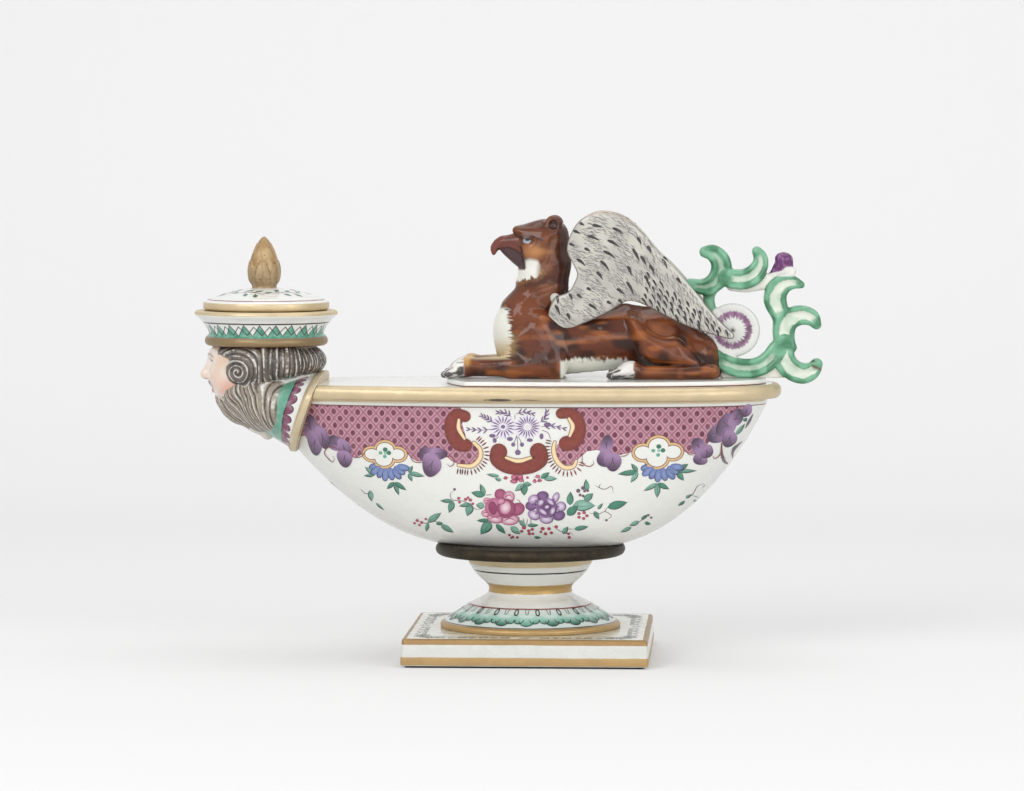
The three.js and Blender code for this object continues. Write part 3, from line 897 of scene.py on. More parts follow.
def build_pad():
    glaze = Glaze("felt")
    fuzz = glaze.noise(0.5, 5, rough=0.8)
    colour = glaze.mix(fuzz, srgb(22, 30, 26), srgb(46, 56, 48))
    glaze.feed(glaze.shader.inputs["Base Color"], colour)
    glaze.shader.inputs["Roughness"].default_value = 0.95
    glaze.shader.inputs["Sheen Weight"].default_value = 0.3
    glaze.roughen(fuzz, 0.2)
    _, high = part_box("felt_pad")
    half, top = high[0] / MM, high[2] / MM
    rings = [(rounded_square(half - inset, 1.5), z) for inset, z in
             ((0.3, 0.0), (0.05, 0.15), (0.0, 0.4), (0.05, top - 0.1), (0.25, top))]
    slab("felt_under_plinth", rings, "stand", ["felt_pad"], glaze.material)


# The plinth's side from below to its top, as [height, inset, corner radius]
PLINTH_EDGE = [
    (PAD_TOP, 0.5, 1.2), (PAD_TOP + 0.25, 0.12, 1.3), (PAD_TOP + 0.7, 0.0, 1.4), (4.0, 0.1, 1.4),
    (8.0, 0.35, 1.4), (10.3, 0.5, 1.4), (10.9, 0.62, 1.5), (11.2, 0.9, 1.6), (PLINTH_TOP, 1.5, 2.0),
]


def build_plinth():
    rings = []
    for z, inset, corner in PLINTH_EDGE:
        loop = rounded_square(PLINTH_HALF - inset, corner)
        sag = 0.12 * np.cos(loop[:, 0] / 21) * np.sin(loop[:, 1] / 27)
        rings.append((loop * (1 + sag[:, None] / PLINTH_HALF), z))
    for inset in (3, 6, 10, 20, 34, 47):
        rings.append((rounded_square(PLINTH_HALF - inset, max(0.5, 2 - inset / 20)), PLINTH_TOP))
    glaze = Glaze("plinth_glaze")
    height = glaze.wavy(glaze.field("height"), 9.0, 0.18)
    edge = glaze.wavy(glaze.field("edge"), 9.0, 0.25)
    top_on = glaze.step(glaze.field("height"), 10.7, 10.9)
    side_gold = glaze.plus(glaze.band(height, 1.1, 4.3), glaze.band(height, 9.2, 12.0), clamp=True)
    rim_gold = glaze.less(1.0, glaze.step(edge, 2.1, 2.35))
    gold = glaze.plus(glaze.times(top_on, rim_gold),
                      glaze.times(glaze.less(1.0, top_on), side_gold), clamp=True)
    worn = glaze.step(glaze.noise(2.0, 5, rough=0.75), 0.27, 0.33)
    gold = glaze.times(gold, glaze.math("MULTIPLY_ADD", worn, 0.5, 0.5))
    low_band = glaze.mix(glaze.noise(6.0, 3), srgb(193, 161, 110), srgb(172, 140, 94))
    high_band = glaze.mix(glaze.noise(6.0, 3), srgb(168, 136, 88), srgb(148, 117, 72))
    tint = glaze.mix(glaze.step(height, 6, 7), low_band, high_band)
    cream = glaze.mix(top_on, srgb(216, 217, 211), srgb(225, 224, 208))
    material = glaze.finish(glaze.mix(gold, cream, tint), gold=gold, bump=0.5, ripple=9.0)
    piece = slab("plinth_tile", rings, "stand", ["plinth"], material)
    field(piece, "edge", PLINTH_HALF - np.abs(points_of(piece)[:, :2]).max(axis=1))
    return piece


LOZENGE = [(0, -1.8), (2.4, 0), (0, 1.8), (-2.4, 0), (0, -1.8)]


def ornament_plinth(plinth):
    """Thin black scrollwork and lozenges on the plinth's top, in each corner and along the edges."""
    decals = Decals(plinth, lambda u, v: ((u, v, 40), (0, 0, -1)))
    ink = srgb(46, 48, 44)
    line_y = -42.6
    corner = 36.5
    for quarter in range(4):
        turn = quarter * math.pi / 2
        c, s = math.cos(turn), math.sin(turn)

        def place(points):
            return [(x * c - y * s, x * s + y * c) for x, y in points]

        for side in (-1, 1):
            for step in range(4):
                at = 8 + 8.5 * step
                curl = []
                for k in range(12):
                    a = k / 11 * 1.6 * TAU
                    r = 2.5 * (1 - k / 14)
                    curl.append((side * (at + r * math.cos(a)), line_y + 0.9 + 0.85 * r * math.sin(a)))
                decals.stroke(place(curl), 0.75, ink, steps=26)
                leaf = [(side * (at + ahead), line_y + up)
                        for ahead, up in ((2.6, 1.2), (4.3, 2.6), (6, 1.1))]
                decals.stroke(place(leaf), 1.1, ink)
                dash = [(side * (at + ahead), line_y - down) for ahead, down in ((3.4, 0.7), (5.2, 1.2))]
                decals.stroke(place(dash), 1.0, ink)
        for k in range(5):
            r = 2.0 + 1.1 * k
            arc = [(corner + r * math.cos(a), -corner + r * math.sin(a)) for a in np.linspace(-2.9, 1.3, 9)]
            decals.stroke(place(arc), 0.6, ink)
        for k in range(9):
            a = -2.7 + k * 0.42
            ray = [(corner + r * math.cos(b), -corner + r * math.sin(b)) for r, b in ((2, a), (6.4, a + 0.2))]
            decals.stroke(place(ray), 0.6, ink)
        for size in (1.0, 0.5):
            lozenge = [(x * size, -42.4 + y * size) for x, y in LOZENGE]
            decals.stroke(place(lozenge), 0.3, ink, taper=0)
    decals.build("plinth_scrollwork", "stand")


def build_foot():
    profile = smooth_profile([
        (20, PLINTH_TOP), (30, PLINTH_TOP), (35.4, PLINTH_TOP), (36, 12.1), (36, 12.9), (35.3, 13.7),
        (34, 14.3), (32.4, 15.4), (30, 17.1), (27.2, 18.9), (24.5, 20.7), (22.3, 21.9), (20.4, 22.9),
        (18.4, 23.9), (17, 25.2), (16.6, 26.7), (16.8, 27.9), (17.8, 29.1), (19.8, 30.8), (21.5, 32.5),
        (23, 34.5), (24.2, 36.4), (24.9, 38.2), (25.1, 39.4), (24.9, 40.4), (20, 40.4)], step=0.35)
    bands = [
        (11.2, 14.0, STRONG_GOLD, True), (14.0, 14.3, DARK_LINE_AND_SHADOW, False),
        (20.5, 21.0, srgb(140, 60, 56), False), (25.7, 29.4, srgb(192, 158, 98), True),
        (34.3, 34.9, INK, False), (37.1, 40.6, PALE_GOLD, True),
    ]

    def leaf_ground(glaze, height, colour):
        wash = glaze.times(glaze.band(height, 14.3, 20.6, 0.3), 0.35)
        return glaze.mix(wash, colour, srgb(176, 214, 204))

    material = banded("foot_glaze", bands, wobble=0.12, extra=leaf_ground)
    foot = turned("pedestal_turned", profile, "stand", ["pedestal_foot"], material, wobble=0.001)

    def ray(u, v):
        """From outside and above to the foot, for u turns round and the height v."""
        a = u * TAU
        inward = CAST_FROM - np.interp(v, [14.0, 14.3, 17.1, 20.7, 22], [34.4, 34, 30, 24.5, 22.4])
        start = (CAST_FROM * math.cos(a), CAST_FROM * math.sin(a), v + 30)
        return start, (-inward * math.cos(a), -inward * math.sin(a), -30)

    decals = Decals(foot, ray)
    leaves = 20
    lobes = [(-0.0165, 17.2, 0.0105, 1.5), (0.0165, 17.2, 0.0105, 1.5), (0.0, 16.7, 0.0145, 1.8)]

    def oval(u, v, half_turn, half_tall, angles):
        return [(u + half_turn * math.cos(a), v + half_tall * math.sin(a)) for a in angles]

    for k in range(leaves):
        middle = k / leaves + rng.uniform(-0.003, 0.003)
        for j, (shift, *lobe) in enumerate(lobes):
            outline = oval(middle + shift, *lobe, np.linspace(0, TAU, 19)[:-1])
            edge = DEEP_GREEN if j == 2 and k % 5 else LEAF_GREEN
            decals.blob(outline, edge, srgb(176, 216, 200), 1 + j, lean=-math.pi / 2)
            under = oval(middle + shift, *lobe, np.linspace(-math.pi * 0.97, -math.pi * 0.03, 9))
            thread(decals, under, 0.26, DARK_LINE_AND_SHADOW, 5)
        wash = oval(middle, 18.3, 0.02, 0.8, np.linspace(0, TAU, 15)[:-1])
        decals.blob(wash, srgb(190, 218, 208), srgb(216, 230, 222), 4)
        for shift in (-0.005, 0.005):
            vein = [(middle + shift * 0.3, 18.6), (middle + shift, 20.5)]
            thread(decals, vein, 0.22, srgb(120, 62, 70), 6)
        loop = oval(middle + 0.5 / leaves, 19.5, 0.0044, 1.05, np.linspace(0, TAU, 11))
        thread(decals, loop, 0.46, INK, 6)
    decals.build("foot_leaves", "stand")


def thread(decals, path, width, colour, layer):
    """A line on the foot: its path is in (turns, height), its width in millimetres."""
    path = np.asarray(path, float)
    scale = np.array([TAU * LEAF_RADIUS, 1.0])
    even = curve_through(path * scale, max(2, int(lengths_along(path * scale)[-1] / 0.6)))
    side = left_of(even) * width / 2
    decals.strip((even - side) / scale, (even + side) / scale, colour, layer)


def build_disc():
    glaze = Glaze("dark_metal")
    patina = glaze.noise(4.0, 6, rough=0.65)
    grain = glaze.noise(0.8, 4)
    colour = glaze.mix(glaze.step(patina, 0.35, 0.7), srgb(46, 40, 31), srgb(70, 60, 43))
    colour = glaze.mix(glaze.times(grain, 0.3), colour, srgb(40, 34, 28))
    glaze.feed(glaze.shader.inputs["Base Color"], colour)
    glaze.shader.inputs["Metallic"].default_value = 0.7
    glaze.feed(glaze.shader.inputs["Roughness"], glaze.math("MULTIPLY_ADD", patina, 0.25, 0.38))
    glaze.roughen(grain, 0.08)
    low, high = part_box("mount_disc")
    z0, z1, radius = low[2] / MM, high[2] / MM, high[0] / MM
    half = (z1 - z0) / 2
    profile = [(3.5, z0), (20, z0), (radius - half, z0)]
    for k in range(1, 12):
        a = -math.pi / 2 + math.pi * k / 12
        profile.append((radius - half + half * math.cos(a), z0 + half + half * math.sin(a)))
    profile += [(radius - half, z1), (20, z1), (3.5, z1), (3.5, z0)]
    turned("metal_disc", np.array(profile), "stand", ["mount_disc"], glaze.material,
           closed=False)


def dress_fixings():
    glaze = Glaze("dull_steel")
    grain = glaze.noise(0.6, 4)
    glaze.feed(glaze.shader.inputs["Base Color"], glaze.mix(grain, srgb(150, 150, 148), srgb(190, 190, 186)))
    glaze.shader.inputs["Metallic"].default_value = 1
    glaze.feed(glaze.shader.inputs["Roughness"], glaze.math("MULTIPLY_ADD", grain, 0.2, 0.3))
    for name in ("tie_bolt", "bowl_washer", "foot_washer", "foot_nut"):
        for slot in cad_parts[name].material_slots:
            slot.material = glaze.material


def build_stand():
    build_pad()
    ornament_plinth(build_plinth())
    build_foot()
    build_disc()
    dress_fixings()


# Bowl, deck and cover plate

DISC_TOP = 45.2
WALL_TOP = 101.7
DECK_UNDER = 104.0
DECK_TOP = 109.5
BOWL_FLOOR = 49.8
BOWL_WALL = 4.5
RIM_PROUD = 5.6
REAR_LINE = ((37, DISC_TOP), (60, 51), (80, 72), (94.5, WALL_TOP))
FRONT_LINE = ((37, DISC_TOP), (64, 50), (85, 71), (110, WALL_TOP))
SIDE_LINE = ((22, DISC_TOP), (30, 49), (36, 70), (36.5, WALL_TOP))
OUTLINE_POINTS = 480
OUTLINE_ANGLES = np.arange(OUTLINE_POINTS) / OUTLINE_POINTS * TAU
# How square an end is: 2 is an ellipse
ROUND_END = 2.0
BLUNT_END = 2.6
MOUTH_X = 29
MOUTH_HALF_LENGTH = 53
MOUTH_HALF_WIDTH = 27
SHARP_EDGE = math.radians(38)
PLATE_TOP = 111.5
COLLAR_X = -82.9
COLLAR_LEAN = 0.372


def bezier(points, t):
    a, b, c, d = (np.array(p, float) for p in points)
    t = np.asarray(t, float)[..., None]
    return a * (1 - t) ** 3 + 3 * b * t * (1 - t) ** 2 + 3 * c * t * t * (1 - t) + d * t ** 3


def reach_of(line, height):
    dense = bezier(line, np.linspace(0, 1, 200))
    return np.interp(min(height, WALL_TOP), dense[:, 1], dense[:, 0])


def soft_square(angles, power):
    """Cosine and sine drawn out towards the corners of their square."""
    c, s = np.cos(angles), np.sin(angles)
    e = 2 / power
    return np.sign(c) * np.abs(c) ** e, np.sign(s) * np.abs(s) ** e


def bowl_outline(height, proud=0.0):
    rear, front, wide = (reach_of(line, height) + proud for line in (REAR_LINE, FRONT_LINE, SIDE_LINE))
    power = np.where(np.cos(OUTLINE_ANGLES) > 0, BLUNT_END, ROUND_END)
    c, s = soft_square(OUTLINE_ANGLES, power)
    return np.column_stack([np.where(c > 0, c * rear, c * front), s * wide])


def mouth_outline(inset=0.0):
    c, s = soft_square(OUTLINE_ANGLES, BLUNT_END)
    return np.column_stack([MOUTH_X + c * (MOUTH_HALF_LENGTH - inset), s * (MOUTH_HALF_WIDTH - inset)])


def collar_x(z):
    return COLLAR_X + (z - DECK_TOP) * COLLAR_LEAN


def stack(name, rings, body, replaces, material, behind_collar=True, caps=True):
    """A piece from [outline, height] rings; what lies ahead of the collar is pressed back to it."""
    points = stacked(rings)
    if behind_collar:
        points[:, 0] = np.maximum(points[:, 0], collar_x(points[:, 2]))
    count = len(rings[0][0])
    faces = grid_faces(len(rings), count)
    if caps:
        faces.append(tuple(reversed(range(count))))
        faces.append(tuple(range((len(rings) - 1) * count, len(rings) * count)))
    piece = make_object(name, points, faces, body, replaces, material)
    piece.data.set_sharp_from_angle(angle=SHARP_EDGE)
    return piece, points


def length_from_middle(outline):
    """Length along either flank of a loop, from the flank's middle towards the nozzle."""
    step = np.linalg.norm(np.diff(np.vstack([outline, outline[:1]]), axis=0), axis=1)
    along = np.concatenate([[0], np.cumsum(step)[:-1]])
    from_rear = np.minimum(along, step.sum() - along)
    return from_rear - from_rear[len(outline) // 4]


# Lower and upper edge of the trellis: heights at places along the bowl, the same on both sides
TRELLIS_LOWER = [
    (-104, 86), (-88, 89), (-84, 88), (-80, 85), (-76, 83.5), (-72, 81), (-68, 80.6), (-65.5, 82),
    (-64, 83.5), (-56, 83), (-47, 83), (-46, 81.5), (-43, 79.8), (-40, 79.6), (-36, 80.4), (-31.5, 82),
    (-29, 80), (-26, 78.7), (-22, 78.4), (-19.5, 80), (-18.2, 82.5), (-18, 104), (11, 104), (11.2, 84),
    (12.2, 81.4), (15, 78.8), (18.4, 79.2), (20, 80.8), (22.3, 82.7), (24, 84.4), (28, 84.9), (36.6, 82.7),
    (41, 84), (62, 84), (64, 83.2), (66.8, 82.7), (70, 85), (72, 88), (78, 93), (84, 99), (88, 101),
    (92, 104),
]
TRELLIS_UPPER = [(-24.8, 104), (-24.4, 88.6), (-20.4, 87.6), (-18, 84.5), (11, 85), (12, 87), (17.6, 88),
                 (18, 104)]
TRELLIS_WIDTH = 5.0
TRELLIS_HEIGHT = 5.5

# Quatrefoils as [size along x, size along z, middle x, middle z]
QUATREFOILS = [(0.8, 0.7, -56.2, 82.2), (0.9, 0.86, 51.6, 83.6)]


def bowl_glaze():
    def trellis(glaze, colour):
        along, height = glaze.field("along"), glaze.field("height")
        along = glaze.wavy(along, 8.0, 0.5)
        height = glaze.wavy(height, 8.0, 0.45)
        inside = glaze.step(glaze.wavy(glaze.field("trellis"), 3.0, 0.2), -0.15, 0.15)
        sideways = glaze.math("DIVIDE", along, TRELLIS_WIDTH)
        upwards = glaze.math("DIVIDE", height, TRELLIS_HEIGHT)
        rising = glaze.plus(sideways, upwards)
        falling = glaze.less(sideways, upwards)
        parts = [glaze.math("FRACT", rising), glaze.math("FRACT", falling)]
        gaps = [glaze.less(0.5, glaze.math("ABSOLUTE", glaze.less(p, 0.5))) for p in parts]
        nearest = glaze.math("MINIMUM", *gaps)
        line = glaze.less(1.0, glaze.step(nearest, 0.025, 0.075))
        centre = [glaze.less(p, 0.5) for p in parts]
        across = glaze.plus(centre[0], centre[1])
        upright = glaze.less(centre[0], centre[1])
        tall = glaze.times(glaze.math("POWER", upright, 2.0), 0.9)
        spread = glaze.plus(glaze.math("POWER", across, 2.0), tall)
        ragged = glaze.plus(spread, glaze.times(glaze.less(glaze.noise(1.3, 3), 0.5), 0.12))
        dot = glaze.less(1.0, glaze.step(ragged, 0.12, 0.19))
        wash = glaze.mix(glaze.noise(5.0, 4), srgb(200, 156, 168), srgb(172, 116, 134))
        strength = glaze.math("MULTIPLY_ADD", glaze.noise(4.0, 3), 0.8, 0.5)
        lined = glaze.mix(glaze.times(line, 0.8), wash, TRELLIS_LINE)
        dotted = glaze.mix(glaze.times(dot, strength, clamp=True), lined, srgb(104, 48, 68))
        edged = glaze.mix(glaze.band(glaze.field("trellis"), -0.15, 0.25), dotted, TRELLIS_LINE)
        top_line = glaze.band(glaze.field("height"), WALL_TOP - 0.3, WALL_TOP + 0.1, 0.08)
        over = glaze.mix(inside, colour, edged)
        gilt = glaze.step(glaze.wavy(glaze.field("height"), 12.0, 0.3), 102.8, 103.1)
        over = glaze.mix(gilt, over, PALE_GOLD)
        return glaze.mix(glaze.times(top_line, 0.9), over, srgb(96, 58, 52))

    return zoned("bowl_glaze", [], trellis, mottle=0.035)


def build_bowl():
    dense = np.linspace(0, 1, 60)
    lower = np.interp(np.linspace(0, 1, 34), dense, bezier(SIDE_LINE, dense)[:, 1])
    heights = np.unique(np.concatenate([
        [DISC_TOP], lower, np.arange(74, WALL_TOP, 0.7), [WALL_TOP, 102.4, 103.2, DECK_UNDER]]))
    rings = [(bowl_outline(DISC_TOP) * part, DISC_TOP) for part in (0.3, 0.9)]
    rings += [(bowl_outline(z), z) for z in heights]
    rings.append((bowl_outline(DECK_UNDER, -BOWL_WALL), DECK_UNDER))
    for z in (98, 90, 82, 74, 66, 62, 58, 55, 52.6, 51, BOWL_FLOOR):
        slope = 3 if z < 60 else 0
        rings.append((bowl_outline(max(DISC_TOP, z - slope), -BOWL_WALL), z))
    rings.append((bowl_outline(DISC_TOP, -BOWL_WALL) * 0.3, BOWL_FLOOR))
    bowl, points = stack("bowl_skin", rings, "stand", ["bowl_dish", "bowl_wall"], bowl_glaze())
    x, z = points[:, 0], points[:, 2]
    outer = (2 + len(heights)) * OUTLINE_POINTS
    field(bowl, "along", np.concatenate([length_from_middle(loop) for loop, _ in rings]))
    field(bowl, "height", np.where(np.arange(len(z)) < outer, z, BOWL_FLOOR))
    low_x, low_z = np.array(TRELLIS_LOWER, float).T
    top_x, top_z = np.array(TRELLIS_UPPER, float).T
    inside = np.minimum(z - np.interp(x, low_x, low_z), np.minimum(np.interp(x, top_x, top_z), WALL_TOP) - z)
    inside[outer:] = -FAR
    field(bowl, "trellis", inside)
    return bowl


# Painting on the bowl, in flat (x, z) millimetres seen from the side

RED = srgb(128, 39, 20)
RED_DEEP = srgb(104, 26, 17)
LIGHT_OCHRE = srgb(220, 182, 130)
OCHRE_LINE = srgb(112, 66, 42)
GREEN_PALE = srgb(132, 190, 168)
LILAC = srgb(118, 92, 134)
MAUVE_DEEP = srgb(66, 40, 72)
MAUVE_PALE = srgb(158, 124, 164)

# Fat scrolls as [x, z, half width]: the two C-scrolls and the U between them
RED_SCROLLS = [
    [(-23.9, 98.0, 2.2), (-26.9, 98.6, 2.3), (-29.0, 96.4, 2.5), (-29.3, 92.7, 2.6), (-28.4, 89.4, 2.6),
     (-26.3, 87.0, 2.6), (-23.8, 86.6, 2.6)],
    [(13.9, 99.3, 2.0), (16.9, 99.5, 2.1), (19.6, 97.9, 2.4), (20.9, 94.4, 2.6), (20.5, 90.8, 2.7),
     (18.7, 88.2, 2.8), (16.0, 87.5, 2.9)],
    [(-10.6, 84.1, 3.2), (-11.0, 81.2, 3.0), (-7.6, 78.6, 2.8), (-2.9, 77.7, 2.6), (2.1, 78.6, 2.8),
     (5.6, 81.2, 3.0), (5.0, 84.3, 3.3)],
]
OCHRE_CRESCENTS = [
    [(-26.3, 96.6, 0.5), (-26.3, 93.1, 0.8), (-24.1, 89.2, 0.45)],
    [(17.0, 97.3, 0.5), (18.5, 94.2, 0.8), (17.3, 90.5, 0.45)],
    [(-7.7, 81.8, 0.5), (-2.9, 80.5, 0.75), (2.0, 81.8, 0.5)],
]
# Gilt crescents below the C-scrolls: the side that carries the fringe, 1 for left, and the path
FRINGED_CRESCENTS = [
    (1, [(-20.4, 87.6, 0.6), (-18.0, 85.0, 0.75), (-18.1, 81.4, 0.85), (-21.3, 78.4, 0.8),
         (-26.6, 78.6, 0.55)]),
    (-1, [(11.4, 88.0, 0.5), (10.9, 85.0, 0.75), (12.0, 81.0, 0.85), (15.1, 78.0, 0.8), (18.6, 78.4, 0.7),
          (19.8, 80.6, 0.5)]),
]
# Lobed mauve leaves as lists of [x, z, half width, half height, turn in degrees]
MAUVE_LEAVES = [
    [(-86.6, 92.5, 2.6, 4.6, 0), (-85.0, 86.0, 2.5, 4.6, 12), (-81.4, 88.6, 2.0, 4.4, 20)],
    [(-76.0, 86.0, 3.4, 2.6, -30), (-72.6, 84.2, 2.2, 3.8, 16), (-72.6, 80.2, 2.6, 3.2, 24)],
    [(-38.6, 82.6, 3.4, 2.6, -10), (-34.6, 83.0, 2.9, 2.2, 0), (-37.4, 78.6, 3.2, 4.2, 4)],
    [(31.6, 87.0, 2.0, 3.4, -20), (31.4, 81.4, 3.0, 3.0, -30), (34.0, 80.4, 2.8, 3.4, 24)],
    [(67.4, 86.2, 2.3, 2.8, 10), (68.2, 80.8, 2.4, 2.2, -30), (70.8, 83.6, 1.9, 2.6, -36)],
    [(74.8, 90.6, 2.9, 3.6, -38), (78.4, 94.0, 3.0, 4.4, -30), (79.6, 88.6, 2.4, 3.2, -8),
     (82.0, 96.8, 2.2, 3.4, -30)],
    [(86.2, 99.4, 1.7, 2.6, -40)],
]
BROWN_TENDRILS = [
    [(-73.4, 83.2), (-78.2, 84.8), (-81.0, 82.0), (-77.8, 78.4), (-76.9, 80.3), (-77.8, 80.9)],
    [(-32.3, 82.0), (-29.1, 82.0), (-28.3, 79.4), (-29.9, 78.0), (-31.1, 79.2)],
    [(22.3, 83.4), (22.2, 79.9), (24.6, 78.4), (26.6, 79.4), (26.4, 80.9)],
    [(76.4, 85.2), (75.9, 82.2), (73.8, 80.7), (72.9, 82.2)],
    [(78.3, 80.0), (77.0, 82.0), (76.6, 85.8), (76.9, 88.0)],
    [(-64.2, 83.4), (-65.4, 81.4), (-68.6, 80.5)], [(-46.2, 82.6), (-44.4, 79.8), (-40.6, 79.4)],
    [(36.8, 82.5), (39.0, 82.6), (40.8, 84.2)], [(62.4, 84.4), (63.8, 82.9), (66.0, 82.5)],
]
MAUVE_STROKES = [
    [(76.4, 87.0), (76.6, 82.5), (77.4, 79.6), (79.4, 77.6), (81.4, 78.6)],
    [(80.8, 80.2), (81.0, 83.2), (83.2, 85.8), (84.6, 86.8)], [(73.6, 68.6), (75.0, 71.4), (77.2, 73.6)],
    [(85.8, 92.4), (87.4, 95.2), (88.8, 98.0)],
]
# Spray under the bow, in flat (x, y) millimetres seen from below
KEEL_STROKES = [
    [(-88, 0), (-83, 1.6), (-77, -1.2), (-70, 1.0), (-64, 0)], [(-84, 1.0), (-82.6, 4.6), (-79, 5.4)],
    [(-80, 0.4), (-79.6, -3.8), (-76, -5.0)], [(-75, -0.6), (-73, 3.2), (-69.6, 4.2)],
    [(-70, 0.8), (-68, -2.8), (-64.8, -3.6)],
]
# Leaves as [root x, root z, tip x, tip z, half width]
GREEN_LEAVES = [
    # under the quatrefoils
    (-60.2, 74.0, -64.2, 77.0, 1.0), (-60.2, 74.0, -64.8, 73.4, 0.7), (-46.7, 75.2, -45.0, 78.0, 0.8),
    (-46.5, 75.2, -40.4, 74.0, 0.9), (-46.6, 75.0, -45.2, 71.8, 0.8), (-52.6, 71.2, -55.6, 68.4, 0.9),
    (-52.5, 71.2, -50.8, 66.0, 0.9), (-52.4, 71.2, -47.8, 68.2, 0.9),
    (43.9, 76.3, 41.4, 79.4, 0.9), (43.9, 76.2, 36.2, 75.4, 1.1), (43.9, 76.1, 41.0, 72.0, 1.0),
    (59.0, 76.2, 63.4, 78.9, 1.1), (59.0, 76.1, 66.6, 76.1, 0.8), (59.0, 76.0, 61.8, 72.3, 1.1),
    (51.5, 71.4, 46.2, 68.6, 0.9), (51.5, 71.4, 51.2, 65.6, 1.2), (51.5, 71.4, 56.0, 69.0, 1.0),
    # round the small flower
    (-10.4, 74.4, -15.4, 75.2, 0.7), (-9.6, 72.8, -12.2, 73.6, 0.7), (-0.9, 71.4, -4.4, 68.6, 1.1),
    (-0.9, 71.4, 2.2, 71.2, 0.9), (-0.9, 71.4, -0.6, 66.8, 1.4), (5.8, 73.6, 9.2, 76.0, 0.9),
    (6.8, 73.6, 12.2, 73.6, 1.0),
    # left of the rose
    (-16.2, 66.8, -18.0, 71.2, 1.0), (-16.2, 66.6, -21.6, 67.8, 1.3), (-16.4, 62.4, -19.8, 62.8, 1.3),
    (-21.8, 63.2, -26.6, 62.2, 0.8), (-21.8, 63.2, -23.6, 58.2, 1.6), (-29.0, 64.2, -30.8, 59.4, 1.3),
    (-29.2, 64.2, -34.0, 64.2, 0.8),
    # right of the purple flower
    (17.2, 62.8, 17.4, 68.2, 1.3), (16.0, 58.8, 20.2, 62.6, 1.6), (18.2, 62.6, 27.0, 62.8, 2.2),
    (22.8, 64.6, 26.2, 67.6, 1.3), (24.0, 68.6, 23.6, 73.2, 1.1), (26.6, 60.4, 28.6, 57.2, 0.9),
    (28.0, 61.2, 30.0, 63.6, 0.6), (31.8, 61.8, 39.6, 64.0, 1.6),
    # below
    (-14.0, 56.2, -18.4, 50.8, 2.0), (-14.6, 56.6, -19.6, 56.4, 0.8), (-12.2, 55.0, -8.4, 51.2, 1.0),
    (-6.4, 54.0, -2.6, 51.2, 1.2), (-2.8, 56.6, -0.2, 54.0, 0.9), (0.2, 54.6, 4.6, 54.8, 0.7),
    (2.8, 49.8, 5.6, 49.6, 0.5), (14.2, 51.0, 16.2, 54.2, 0.9), (18.6, 53.0, 24.2, 54.2, 0.9),
    # sprays low on both flanks
    (-39.6, 55.0, -34.0, 59.2, 1.2), (-39.4, 54.8, -40.6, 51.0, 0.8), (-36.2, 54.6, -33.4, 55.0, 0.7),
    (-34.4, 54.2, -29.2, 51.2, 1.1), (-62.8, 67.4, -62.2, 62.8, 1.1), (-60.6, 62.2, -57.4, 59.4, 0.5),
    (45.0, 56.6, 47.4, 58.6, 0.6), (44.2, 56.0, 40.4, 54.2, 0.9), (46.2, 55.2, 48.6, 54.6, 0.7),
    (41.2, 53.6, 36.8, 51.6, 0.8), (62.4, 64.8, 64.6, 66.2, 0.6), (62.2, 63.6, 59.4, 61.8, 0.6),
    (65.4, 63.6, 67.0, 62.0, 0.6), (82.1, 89.8, 85.6, 94.2, 0.8), (85.2, 95.2, 86.4, 96.6, 0.7),
    (80.8, 83.2, 82.4, 85.6, 0.7),
]
STEMS = [
    [(-28.2, 68.8), (-30.0, 67.0), (-29.2, 64.6), (-24.4, 64.0), (-19.9, 61.0), (-16.6, 61.6)],
    [(-16.2, 66.7), (-13.4, 67.0)], [(26.8, 71.0), (29.4, 69.6), (31.2, 69.3), (33.6, 70.4), (34.2, 67.8)],
    [(29.4, 71.4), (28.6, 70.2), (30.0, 69.2)],
    [(24.6, 59.6), (28.6, 59.4), (31.0, 60.2), (33.4, 58.4), (31.4, 56.8)], [(30.6, 60.0), (31.8, 61.8)],
    [(10.0, 54.6), (12.4, 52.8), (15.2, 51.4), (17.6, 51.6), (18.2, 50.2)], [(14.4, 53.2), (18.6, 53.1)],
    [(-0.9, 73.4), (-0.8, 69.2)], [(-9.2, 73.4), (-6.6, 73.8)], [(3.0, 74.2), (5.8, 73.6)],
    [(0.4, 57.4), (0.0, 54.6)], [(1.7, 57.6), (1.8, 54.8)], [(-1.3, 57.6), (-0.6, 54.4)],
    [(-43.6, 55.2), (-40.4, 54.6), (-36.4, 55.6), (-34.2, 54.2)],
    [(-66.8, 67.8), (-64.6, 65.8), (-62.6, 66.8)], [(48.0, 58.0), (45.6, 56.6), (42.0, 54.0)],
    [(69.4, 70.4), (67.0, 69.4), (65.2, 66.2), (62.4, 64.4)], [(69.4, 70.4), (69.8, 69.2), (68.8, 68.8)],
    [(64.8, 65.8), (67.6, 64.2), (67.4, 62.6)],
]
